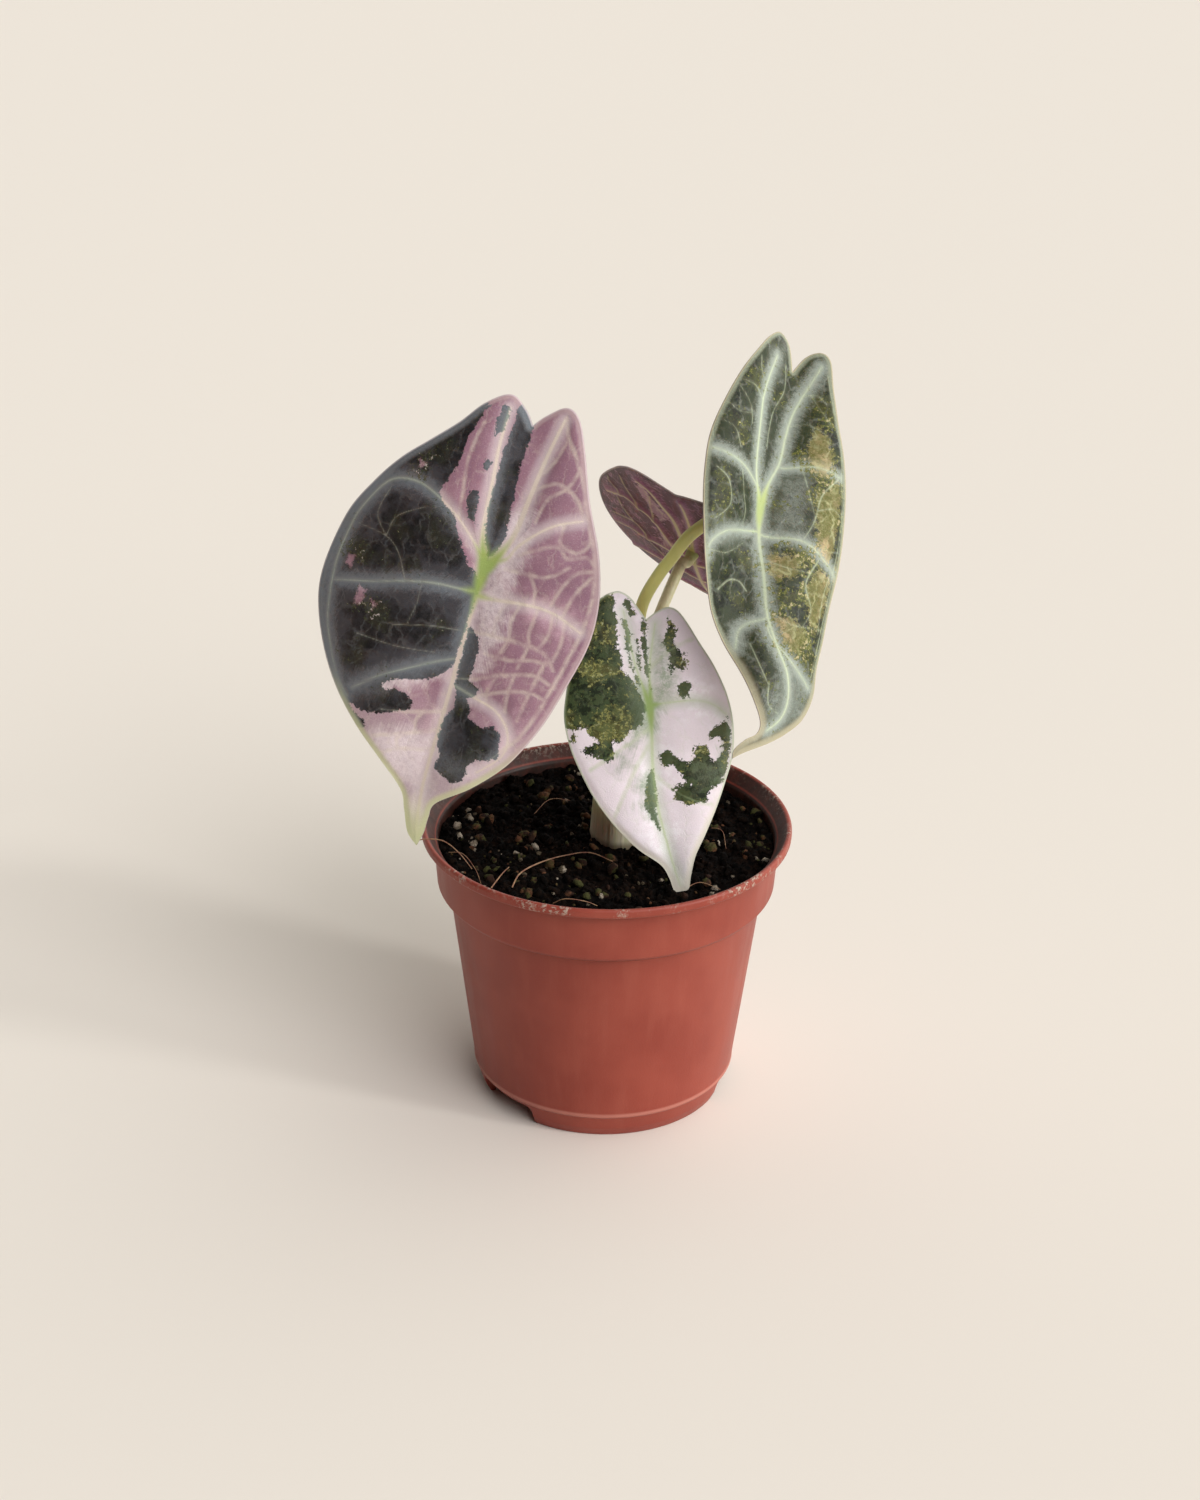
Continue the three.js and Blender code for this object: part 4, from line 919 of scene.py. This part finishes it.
LEFT_VEINS = [
    (0.6, 0.4, [(0, 0), (0.4, 10), (0.9, 20), (1.5, 30), (1.8, 40), (2, 50), (2.6, 58), (4.2, 67)]),
    (0.7, 0.3, [(0, 0), (-0.9, -1.6), (-3.3, -8.2), (-5.2, -19.6), (-6.8, -28.1), (-7.8, -36.7)]),
    (0.9, 0.4, [(0, 0), (1.9, -2.6), (4.1, -9.4), (4.5, -18.7), (4.7, -27.7), (5.4, -38.5)]),
    (0.3, 0.1, [(-1, -1.5), (-3.2, -3.8), (-9.6, -8.8), (-17.4, -12.4), (-23.6, -13.2), (-29.3, -10.8),
                (-33.5, -3), (-34.8, 2), (-35.5, 10), (-35, 16), (-34.5, 19), (-33, 25), (-30, 31), (-26, 37),
                (-22, 40.5)]),
    (0.35, 0.12, [(0.1, 5.2), (-1.4, 6.2), (-10, 7.4), (-17.3, 9.6), (-25, 12.6), (-34.8, 15.8)]),
    (0.25, 0.1, [(0.9, 22.4), (-0.3, 22.8), (-5, 25.5), (-10.5, 29.2), (-16, 33), (-21.5, 38.3)]),
    (0.5, 0.25, [(1.9, -2.6), (4.5, -4), (6.3, -8), (12, -14.5), (18.7, -18.5)]),
    (0.55, 0.25, [(0.5, 6.6), (3.7, 6.3), (12.6, 4.4), (19.4, 4.1), (26.9, 6.3)]),
    (0.4, 0.2, [(1.6, 29), (2.5, 28.6), (8, 29.3), (14, 30.5), (18.2, 34.5), (18.5, 40), (14, 46)])]
LEFT_LATERALS = [
    (0.14, 0.04, [(1, 15.5), (5, 14.5), (13, 13.4), (20, 13.5), (23.8, 16.8)]),
    (0.14, 0.04, [(1.4, 27), (6.3, 25.2), (13, 21.8), (19.7, 19.3), (23.8, 20.2)]),
    (0.14, 0.04, [(1.9, 35.2), (-5.3, 38), (-12.8, 40.2)]),
    (0.14, 0.04, [(1.9, 40), (-5.3, 43.5), (-13, 47)]),
    (0.14, 0.04, [(2, 45), (-6, 47.8), (-11, 51)]),
    (0.12, 0.12, [(5.4, -38.8), (8, -34.8), (11.3, -31.5), (15.5, -26), (19.3, -19), (23, -13), (25.5, -7),
                  (26.8, -0.7), (26.8, 6), (25.7, 13.5), (24.7, 20), (22.8, 29), (20.5, 35.2), (16, 42)]),
    (0.03, 0, [(8, -34.8), (7.2, -29), (5, -24.5)]),
    (0.03, 0, [(13.5, -29), (12.2, -24), (8.8, -19.8), (8, -14)]),
    (0.03, 0, [(12.2, -24), (15.5, -22.3), (18.3, -19)]), (0.03, 0, [(5, -21), (9, -24), (12.2, -24)]),
    (0.03, 0, [(14.7, -15.8), (15.5, -11.5), (19.7, -11), (21.8, -14), (20, -18.2)]),
    (0.03, 0, [(6.5, -5.5), (14.7, -10.7), (18, -9), (22.2, -10.7), (24.5, -9.5)]),
    (0.03, 0, [(24.7, -8.2), (21.3, -6.5), (19.3, -2.3), (18, 3)]),
    (0.03, 0, [(25, -7), (22.6, -2), (21.5, 4)]),
    (0.03, 0, [(5, -1.5), (14.7, -3.2), (19.3, -7.3)]), (0.03, 0, [(11, -2.6), (13.5, 0.5), (14, 4)]),
    (0.03, 0, [(11.3, 5), (10.5, 9.3), (11.3, 13.5), (9.7, 19.3)]), (0.03, 0, [(8, 6), (7, 10), (7.5, 14)]),
    (0.03, 0, [(15.5, 5), (15.5, 10.2), (16.3, 13.5), (15.5, 19.3)]),
    (0.03, 0, [(19.3, 5), (19.9, 9), (18.6, 13.5)]),
    (0.03, 0, [(22.4, 5), (23.2, 10), (22.8, 14.5)]),
    (0.03, 0, [(7, 18.6), (13, 18), (18, 16.2), (21.8, 15.8)]),
    (0.03, 0, [(21.3, 15), (20.5, 20), (19.8, 26), (19.3, 31)]),
    (0.03, 0, [(15.5, 21), (15.3, 25), (16, 30)]),
    (0.03, 0, [(8, 29), (14.7, 25.2), (20.3, 23.4), (23.4, 24)]),
    (0.03, 0, [(11.3, 23), (10.6, 26), (11, 29.6)]),
    (0.03, 0, [(-5, 43.5), (-7, 45.5), (-6, 47.8)]), (0.03, 0, [(-3, 37), (-4, 40), (-3, 42.5)]),
    (0.02, 0, [(-9.6, -8.8), (-11, -16), (-12.5, -24), (-12, -32)]),
    (0.02, 0, [(-17, 9.3), (-20.5, 4), (-25, 1.3), (-33.5, 1)]),
    (0.02, 0, [(-25, 1.3), (-24, -4), (-18, -8.5)]),
    (0.02, 0, [(-0.5, 15.8), (-6.2, 16.8), (-10.3, 18), (-17, 20.4)]),
    (0.02, 0, [(-28, -10), (-29, -3), (-25, 1.3)]),
    (0.02, 0, [(-12.8, 9), (-12.3, 13), (-13, 18.6)]),
    (0.02, 0, [(-24.5, 25.4), (-14.5, 24.7), (-4.5, 22.7)])]
LEFT_DARK = [
    [(-1, 2.5), (-4.2, 0.2), (-5.8, -2.2), (-8.6, -5.6), (-10.8, -9.3), (-13.8, -10.6), (-16.4, -12.8),
     (-15.2, -15.2), (-14.4, -18.5), (-14, -22.5), (-14.3, -26), (-13.8, -30), (-13, -34.3), (-12, -35.6),
     (-15.5, -37), (-24, -30), (-34, -18), (-42, -6), (-44, 10), (-42, 24), (-34, 36), (-26, 43),
     (-18.5, 47), (-15.5, 46), (-16, 44.2), (-19, 43.2), (-21, 41.8), (-18, 42.2), (-15, 42), (-12.5, 41.4),
     (-11, 40.2), (-8.6, 39.2), (-6.3, 37.8), (-6, 35.6), (-8, 34.4), (-11, 34.2), (-13.5, 35.2),
     (-14.2, 34.2), (-12.5, 32.6), (-9.5, 31.2), (-6.5, 30.4), (-3.5, 28.6), (-1.5, 26.6), (0.3, 25),
     (0.4, 14), (0.2, 4)],
    [(-6, -39), (-4, -38.5), (-1.4, -35.5), (-0.6, -31), (-0.3, -25), (0.8, -19), (1.8, -13), (2.4, -10),
     (2, -7), (1, -3.5), (-0.5, -3), (-2.5, -7), (-4, -13), (-4.6, -19), (-5.2, -25), (-5.6, -31)],
    [(-9.5, -37), (-7.5, -36.5), (-7.2, -31), (-8.5, -29.5), (-9.6, -33)],
    [(-8.5, -23.8), (-7, -23.5), (-7.2, -21.5), (-8.4, -21.6)],
    [(-9.3, -15.5), (-7.5, -16.3), (-6.3, -14), (-6.5, -11), (-5, -9), (-7.5, -9.8), (-9, -12.5)],
    [(1, 14), (2.5, 14.5), (4.2, 16), (5.3, 18), (5.2, 21), (5.4, 24), (5.2, 26), (8.3, 27), (8, 28.8),
     (6.5, 29.8), (6.5, 31), (8, 32.5), (8.3, 34.5), (12, 35.2), (14.5, 34.2), (16.5, 35), (17, 37.5),
     (17.8, 41), (16.5, 42), (13, 43.5), (11.5, 44.8), (11.8, 47), (11, 49.5), (9, 50.8), (6, 49.7),
     (3.5, 48.8), (4, 46), (2.2, 42), (2, 38), (2.8, 35), (3.8, 33.5), (3.4, 31), (2.3, 28.5), (1.8, 24),
     (1.2, 18)]]
LEFT_HAZE = [
    [(1, 3), (8, 4.6), (10, 9), (9, 16), (8, 23), (6, 25), (3, 14)],
    [(1.5, 50), (1.5, 42), (-4, 42), (-12, 45), (-14, 49), (-6, 54), (2, 56)],
    [(0.6, 13), (6.5, 15), (6.5, 26), (9, 29), (5, 31.5), (1.4, 29)],
    [(-2, 23), (-9, 26), (-15, 30), (-24, 36), (-23, 41), (-13, 37), (-6, 31), (-1, 27)],
    [(-40, -14), (-34.5, -6), (-36, 8), (-35.5, 18), (-31, 30), (-24, 39), (-30, 44), (-44, 26), (-46, 0)],
    [(2, 44), (12, 44), (12, 50), (4, 50)],
    [(1.5, -14), (7, -16), (8.5, -6), (8, 4), (7, 11), (4, 14), (1, 12)],
    [(1, 50), (3, 50), (6, 62), (1, 62)]]
LEFT_BLUSH = [[(-27.5, 14.5), (-25.5, 15), (-25.6, 18.5), (-27.4, 19)],
              [(-23.4, 16.5), (-21.8, 17), (-22.4, 19)],
              [(-33, 8.5), (-31, 8.6), (-31.2, 11.5), (-32.8, 11)],
              [(-24, -18.5), (-21.5, -18), (-22.5, -16)]]
blade("left", LEFT_PLACE, LEFT_FORM, LEFT_MIDRIB, LEFT_MARGINS, LEFT_RIBS, LEFT_VEINS,
      LEFT_LATERALS, LEFT_DARK, LEFT_HAZE, LEFT_BLUSH, [pink_top, underside], "blade_pink_and_grey", curl=0.7)

# Centre leaf: the smallest blade, white with a lilac tinge, splashed with dark green that breaks
# up into flecks, with thin pale green veins.
white_top = blade_finish(
    "white and green blade", 0.48, 0.00014, ground_haze=(132, 150, 120), ground=(249, 241, 246),
    ground_shade=(236, 222, 229), ground_pale=(184, 196, 172), ground_vein=(192, 202, 164),
    green=(19, 31, 16), green_shade=(64, 80, 52), bloom=(128, 144, 118), green_vein=(134, 152, 110),
    fleck=(134, 134, 76), rim=(214, 216, 190), green_rim=(100, 114, 76), heart=(140, 164, 92),
    tip=(214, 206, 190), ragged=2.6, speckle=0.7, mottle=0.75, bloom_reach=1.6, bloom_amount=0.6,
    flecks=0.43, rim_width=0.8, heart_reach=8.0, tip_from=38.0, net=0.1, green_net=0.12)
CENTRE_FORM = (1.2, 5, 2, 20, 3, 45, 4, 27)
CENTRE_MIDRIB = [(0, 0), (-0.5, 6.5), (-1.3, 14), (-1.5, 23), (-0.9, 29.5), (0.2, 38), (1.4, 44.6)]
CENTRE_MARGINS = (
    [(1.4, 44.6), (-0.4, 44.3), (-1.2, 41), (-2.8, 37.5), (-7.5, 33), (-12, 27), (-15.8, 20), (-18.3, 13),
     (-19.9, 6.5), (-20.2, 0), (-18.8, -6), (-16.6, -12.5), (-13, -20), (-10, -24.5), (-7, -26.7),
     (-3.6, -27.3), (-1, -25.5), (0.6, -22.7), (2, -20)],
    [(1.4, 44.6), (3, 44.2), (4, 41), (5.7, 36.5), (8.5, 32), (12, 26), (15, 20), (17.6, 14), (18.7, 7),
     (18.2, 0), (16.2, -7), (13.5, -13), (11.3, -18), (9.5, -21), (7.3, -22.1), (4.6, -21.4), (2, -20)])
CENTRE_RIBS = [(0.72, 0.13, 0, 0.13, 0), (0.52, 0.21, 0.06, 0.21, 0.06), (0.36, 0.31, 0.08, 0.31, 0.08),
               (0.2, 0.41, 0.08, 0.43, 0.08), (0, 0.56, 0.13, 0.57, 0.13), (0, 0.86, 0.03, 0.86, 0.03)]
CENTRE_VEINS = [
    (0.5, 0.15, CENTRE_MIDRIB), (0.35, 0.15, [(0, 0), (0.5, -3), (1.2, -9), (2.8, -15), (4, -19)]),
    (0.35, 0.15, [(0, 0), (-0.6, -3), (-2, -10), (-2.6, -17), (-3, -23)]),
    (0.22, 0.1, [(0, -0.2), (9.2, -0.1), (14.3, 1.5), (17.3, 4.5)])]
CENTRE_LATERALS = [(0.15, 0.1, [(-0.8, 8), (-6, 15), (-12, 25)]),
                   (0.15, 0.1, [(-0.6, 5), (-8, 9), (-16, 13)]),
                   (0.12, 0.1, [(1.5, -9), (6, -12), (12, -14)]),
                   (0.12, 0.1, [(-1.4, 16), (5, 22), (11, 25)])]
CENTRE_DARK = [
    [(-10.5, -27), (-4.8, -27), (-4.8, -20), (-5.2, -15), (-5, -9.5), (-2.8, -5.5), (-1.2, -2), (-1, 1.5),
     (-2.5, 4), (-5.5, 5.5), (-7.5, 7), (-9.5, 7.2), (-10, 10.5), (-11.5, 11.8), (-13, 10.5), (-14.5, 10),
     (-16.5, 9.2), (-17.5, 8), (-15.5, 7), (-13.5, 6.5), (-14.8, 4.8), (-15.5, 3), (-17.5, 3.5),
     (-20.5, 2.5), (-21, -4), (-20.3, -9), (-18, -14), (-14, -21), (-12, -25)],
    [(-19.4, 4), (-18.4, 3.7), (-17.8, 4.8), (-18.6, 5.7), (-19.4, 5.4)],
    [(-2.5, -25.5), (-0.8, -24.5), (-0.5, -21.5), (-1.8, -21.8), (-2.6, -23.8)],
    [(-3.5, -21), (-2.5, -19.5), (-2, -16), (-2.8, -12), (-2, -8), (-1, -5), (-2.2, -6), (-3.3, -10),
     (-3.6, -15)],
    [(-0.9, -15.5), (-0.5, -12), (-1, -8), (-1.5, -11)],
    [(1.2, -20.5), (1.9, -19), (1.4, -15), (0.9, -9), (0.6, -4), (0.1, -9), (0.4, -15)],
    [(7, -19.5), (8.3, -18.8), (8.5, -16.5), (7.6, -14.8), (8.3, -12.5), (9.6, -11.5), (9.8, -8), (8.8, -7),
     (7.3, -7.8), (5.8, -7), (5.2, -8.6), (6.2, -10.2), (6, -12.5), (5.3, -14.2), (6.2, -16), (6.7, -18)],
    [(7.2, -4), (9.8, -4.4), (10.2, -2), (9.4, -0.6), (8, -0.8), (7, -2.5)],
    [(0.2, 10.8), (2.5, 10.6), (4.8, 12.8), (7.5, 14.2), (8.8, 13), (8.8, 11), (10, 10.3), (12, 11),
     (12.3, 13.5), (13.5, 14.8), (15.2, 12), (14.5, 9.5), (13, 9.2), (13.2, 7.5), (15, 6.2), (17.3, 5.3),
     (17.8, 9), (17.2, 13), (15.5, 17), (13.7, 20.5), (11.8, 20.8), (10.3, 23.5), (7, 24.6), (4.8, 23.8),
     (3, 22.6), (2.6, 20), (3.2, 18.8), (5.5, 19), (7, 19.3), (5.2, 17.8), (4.6, 15.8), (3.5, 14.5),
     (1.5, 14.3), (0.4, 12.4)],
    [(-2.6, 15.5), (-1.3, 15), (-1.2, 18), (-1.6, 22), (-2, 26), (-1.7, 29.5), (-2.8, 27.5), (-3.8, 25.5),
     (-4.2, 22.5), (-3.6, 18.5)]]
CENTRE_HAZE = [
    [(8.5, 14.5), (13.5, 15), (14, 20), (9.5, 20)], [(-5.2, 17), (-2.4, 15), (-2, 27), (-5.4, 24)],
    [(-4, -7), (0, -5), (0.6, 5), (-2.5, 7.5), (-7, 9), (-4, 3)],
    [(0.6, 4), (1.2, -3), (2.4, -11), (4, -16), (6.5, -14), (6.2, -9), (7.5, -6), (6.5, -2.5), (3, 0)],
    [(13, 16), (17, 9), (18.5, 6), (19, 10), (15, 20)], [(-9, 10), (-6, 9), (-6.5, 13), (-9, 14)]]
blade("centre", CENTRE_PLACE, CENTRE_FORM, CENTRE_MIDRIB, CENTRE_MARGINS, CENTRE_RIBS,
      CENTRE_VEINS, CENTRE_LATERALS, CENTRE_DARK, CENTRE_HAZE, [], [white_top, underside],
      "blade_white_and_green", rows=230, top_columns=84, under_columns=26, curl=0.3)

# Right leaf: a narrow grey-green blade with broad silver haloes along its veins, bleached to tan
# and yellow in blocks on its right half, its tip drawn out and hooked.
green_top = blade_finish(
    "silver-veined green blade", 0.46, 0.00014, ground_haze=(214, 194, 156), ground=(208, 180, 136),
    ground_shade=(90, 92, 34), ground_pale=(214, 194, 156), ground_vein=(196, 194, 144), green=(13, 21, 8),
    green_shade=(42, 52, 30), bloom=(152, 160, 150), green_vein=(194, 204, 172), fleck=(92, 98, 40),
    rim=(222, 208, 184), green_rim=(150, 156, 134), heart=(176, 190, 118), tip=(176, 166, 138), ragged=3.4,
    speckle=1.2, mottle=0.75, bloom_reach=2.8, bloom_amount=0.88, flecks=0.40, rim_width=1.3,
    heart_reach=8.0, tip_from=50.0, net=0.5, green_net=0.26)
RIGHT_FORM = (7, 9, 4, 20, 6, 57, 5, 45)
RIGHT_MIDRIB = [(0, 0), (1.5, 7), (4.5, 15), (7.5, 24), (11.5, 30.5), (16.5, 36), (18.8, 41), (18.6, 45.5),
                (15.8, 49.8), (12.8, 53.8), (10.4, 58.2)]
RIGHT_MARGINS = (
    [(10.4, 58.2), (10.2, 56), (11.8, 53.2), (13.9, 51), (13.8, 48.3), (10.5, 44), (5.5, 38), (0, 32.5),
     (-6.5, 26.5), (-11.5, 18), (-15.5, 6.5), (-17.5, -3), (-18, -11.5), (-16.5, -20.5), (-14, -29.5),
     (-11, -36.5), (-8.3, -41.5), (-5, -44.6), (-1.6, -43), (0.5, -36.5)],
    [(10.4, 58.2), (12.6, 56), (17.5, 52), (21.5, 48), (25, 43), (26, 37), (24.6, 31), (24, 24.5), (23, 17),
     (22.6, 8.5), (21.3, 0), (19, -10), (16.3, -18), (12.8, -26), (9.9, -35), (8.3, -42), (6, -43.8),
     (3, -41.6), (0.5, -36.5)])
RIGHT_RIBS = [(0.75, 0.12, 0, 0.12, 0), (0.58, 0.17, 0.05, 0.18, 0.02), (0.43, 0.23, 0.14, 0.24, 0.02),
              (0.26, 0.31, 0.16, 0.35, 0.08), (0.1, 0.41, 0.17, 0.47, 0.11), (0, 0.6, 0.09, 0.65, 0.09),
              (0, 0.87, 0.02, 0.89, 0.02)]
RIGHT_VEINS = [
    (0.42, 0.15, RIGHT_MIDRIB[:9]),
    (0.4, 0.15, [(0, 0), (-0.9, -2), (-3.9, -8.3), (-5.5, -16), (-6.7, -24.7), (-6.3, -31), (-4.9, -38)]),
    (0.35, 0.15, [(0, 0), (0.5, -6.1), (1.8, -12), (1.8, -19), (2.3, -25), (3.8, -30.9), (6.6, -40)]),
    (0.25, 0.1, [(-0.9, -2), (-2.6, -4.6), (-7, -6.5), (-11.7, -7.1), (-17, -7.2)]),
    (0.22, 0.1, [(1.4, 6), (-0.1, 6.2), (-4.5, 8), (-8.4, 10.5), (-11, 14), (-11.3, 17.8)]),
    (0.22, 0.1, [(7.8, 25), (7.2, 25.8), (4.5, 27.5), (3.1, 29.9), (3.7, 34)]),
    (0.22, 0.1, [(1.8, -12), (2.7, -11.1), (9.3, -13.4), (16.3, -13.4)]),
    (0.3, 0.1, [(1.3, 6.2), (3.5, 6.4), (10.8, 5.3), (18.1, 7.7), (22, 9.5)]),
    (0.25, 0.1, [(8.5, 27), (9.9, 29.3), (14.3, 31.9), (24.1, 36.2)])]
RIGHT_LATERALS = [
    (0.14, 0.05, [(-5.2, 23), (-3, 19.7), (-0.2, 18.8), (2.3, 20.5)]),
    (0.02, 0, [(-10.5, 16), (-6, 14.5), (-2, 10)]),
    (0.14, 0.05, [(-6.8, -24.7), (-10, -26.5), (-13, -26.5)]),
    (0.02, 0, [(-16, -19.5), (-12.7, -18.3), (-9.3, -19.5)]),
    (0.02, 0, [(-13.9, -24.5), (-10.2, -21.2), (-8.5, -17)]),
    (0.02, 0, [(-16, -14.5), (-12.7, -13.7), (-10.2, -10)]),
    (0.02, 0, [(-15, -3), (-11, -1), (-9, 4), (-12, 9)]),
    (0.02, 0, [(-8, -5.5), (-6, -1), (-4, 2.5), (-3.5, 6)]),
    (0.02, 0, [(-1.8, -37), (-1, -30.3), (-3, -22.8), (-2.4, -14)]),
    (0.02, 0, [(-10, -35), (-9, -31), (-6.8, -29)]),
    (0.14, 0.05, [(3.8, -30.9), (6.5, -31.8), (9, -30)]), (0.02, 0, [(5.5, -31.3), (8, -28), (10.7, -25.3)]),
    (0.02, 0, [(2.2, -22), (6, -23.5), (10.5, -22)]), (0.02, 0, [(6.5, -12.7), (9, -7), (12.3, -0.3)]),
    (0.1, 0.02, [(15.7, -12.8), (12.3, -7), (12, -0.3), (10.7, 4.7)]),
    (0.02, 0, [(12.2, -3), (16, -5), (19, -4)]),
    (0.1, 0.02, [(15.7, 8), (14, 14.7), (17.3, 19.7), (16.5, 24)]),
    (0.02, 0, [(20, 9.5), (19.8, 16), (21.5, 24)]),
    (0.02, 0, [(4.5, 12), (9, 12.6), (14.2, 12)]), (0.02, 0, [(9, 24), (14, 25), (22, 22.5)]),
    (0.1, 0.02, [(12.5, 39.5), (14, 44), (17.5, 45)]), (0.02, 0, [(6, 32), (9, 36), (12.5, 40)]),
    (0.04, 0.04, [(8, -38), (10.5, -30), (14, -22), (16.8, -12.5), (19.4, -3), (20.6, 6), (21.4, 14),
                  (22.3, 24), (23.4, 34)])]
RIGHT_PALE = [
    [(6.5, -19), (8, -24), (11, -21), (13.8, -15), (12, -11.5), (8.5, -13)],
    [(11.5, -7), (15.5, -11.5), (17.5, -9), (18.8, 1), (18.6, 7.5), (15, 6), (12.6, 1), (11.6, -3)],
    [(4.6, 10.5), (8, 9.5), (12, 10), (11, 14), (8, 16), (5.5, 14.5)],
    [(9, 24.5), (14, 23.5), (19, 26.5), (17.5, 30), (13, 29.5)],
    [(16.4, 9.5), (20.5, 10.5), (21.5, 17), (20.5, 24.5), (17, 22), (14.5, 15)],
    [(20.2, -1), (24, 5), (26, 18), (27, 30), (24, 29), (22.2, 12)]]
RIGHT_HAZE = [[(-13, 9), (-6, 8), (-2, 9.5), (-5, 12.5), (-11, 14.5)], [(3, -9), (9, -11), (10, 3), (4, 4)],
              [(15, 36), (19, 33), (26, 36), (26, 44), (16, 50), (12, 46)],
              [(-3, -42), (-7, -38), (-6, -30), (-3, -33)]]
WHOLE_BLADE = [(-50, -60), (50, -60), (50, 70), (-50, 70)]
blade("right", RIGHT_PLACE, RIGHT_FORM, RIGHT_MIDRIB, RIGHT_MARGINS, RIGHT_RIBS,
      RIGHT_VEINS, RIGHT_LATERALS, [WHOLE_BLADE], RIGHT_HAZE, RIGHT_PALE,
      [green_top, underside], "blade_dark_green", top_columns=84, under_columns=30, curl=0.4)

# Back leaf: it hangs away behind the plant, so its dull purple underside shows from the front,
# with raised pale green veins. Its upper side is green like the right leaf's.
BACK_FORM = (0, 5, -5.5, 32, -15, 55, 2, 35)
BACK_MIDRIB = [(0, 0), (0.3, 12), (0.6, 26), (0.4, 38), (0.1, 48), (0, 56.5)]
BACK_MARGINS = (
    [(0, 56.5), (-1.8, 52.5), (-2.6, 47.3), (-7.4, 41.5), (-14.8, 35.5), (-21, 29), (-25.8, 21.5),
     (-29, 13.5), (-30, 5.5), (-29, -2.5), (-26.4, -10), (-22.6, -16.8), (-18.6, -23), (-15, -27.6),
     (-11.2, -30.6), (-7.3, -31.6), (-3, -31), (0, -30)],
    [(0, 56.5), (1.8, 52.5), (2.6, 47.3), (7.4, 41.6), (14.5, 35.6), (20.3, 29), (24.6, 21.6),
     (27.9, 13.6), (29.5, 5.5), (29.2, -3), (27, -10.5), (23.6, -17.2), (19.8, -23.6), (16.2, -28.9),
     (12.2, -32.2), (8, -32.9), (3.6, -31.6), (0, -30)])
BACK_RIBS = [(0.72, 0.13, 0, 0.13, 0), (0.52, 0.21, 0.06, 0.21, 0.06), (0.36, 0.31, 0.08, 0.31, 0.08),
             (0.2, 0.41, 0.08, 0.41, 0.08), (0, 0.58, 0.16, 0.6, 0.2), (0, 0.88, 0.03, 0.88, 0.03)]
BACK_VEINS = [
    (0.6, 0.2, BACK_MIDRIB),
    (0.75, 0.3, [(0, 0), (0.8, -2.4), (2.2, -6.3), (3.1, -14.2), (5.5, -19.9), (8.1, -25.3), (11.2, -27.6)]),
    (0.45, 0.2, [(3, 3), (5.7, 1.8), (10.1, -7.7), (14.2, -10.2), (18.7, -11.4), (25.4, -6.7)]),
    (0.4, 0.2, [(0.5, 6.5), (7.7, 4.8), (10.7, 4.6), (14, 5.4), (20, 6), (25.9, 9.5)]),
    (0.55, 0.25, [(0, 0), (-1.4, -12.8), (-1.4, -22.3), (-1, -27)]),
    (0.4, 0.2, [(0, 6), (-9, 3), (-17, 1), (-26, 2)]), (0.4, 0.2, [(0.5, 16), (9, 15), (17, 17), (23, 21)]),
    (0.4, 0.2, [(0.5, 16), (-9, 15), (-17, 17), (-23, 21)]), (0.35, 0.2, [(0.5, 28), (7, 28), (14, 31)]),
    (0.35, 0.2, [(0.5, 28), (-7, 28), (-14, 31)])]
BACK_LATERALS = [
    (0.25, 0.15, [(10.1, -7.7), (10, -14), (9, -21)]), (0.25, 0.15, [(14.2, -10.2), (17, -17), (17.5, -23)]),
    (0.25, 0.15, [(18, 1.3), (21, -3), (22, -9)]), (0.25, 0.15, [(14, 5.4), (18, 1.3), (25.9, 5)]),
    (0.25, 0.15, [(9, 15), (13, 9), (17, 6)]), (0.25, 0.1, [(20, -11), (23, -14), (23, -16)])]
BACK_BLUSH = [[(6, -14), (9, -20), (11, -25), (13, -22), (10, -13), (8, -9)],
              [(5, 0), (9, -2), (9, 3), (6, 4)]]
blade("back", BACK_PLACE, BACK_FORM, BACK_MIDRIB, BACK_MARGINS, BACK_RIBS, BACK_VEINS,
      BACK_LATERALS, [WHOLE_BLADE], [], BACK_BLUSH, [green_top, underside], "blade_purple_underside",
      rows=240, top_columns=40, under_columns=80, curl=0.3)
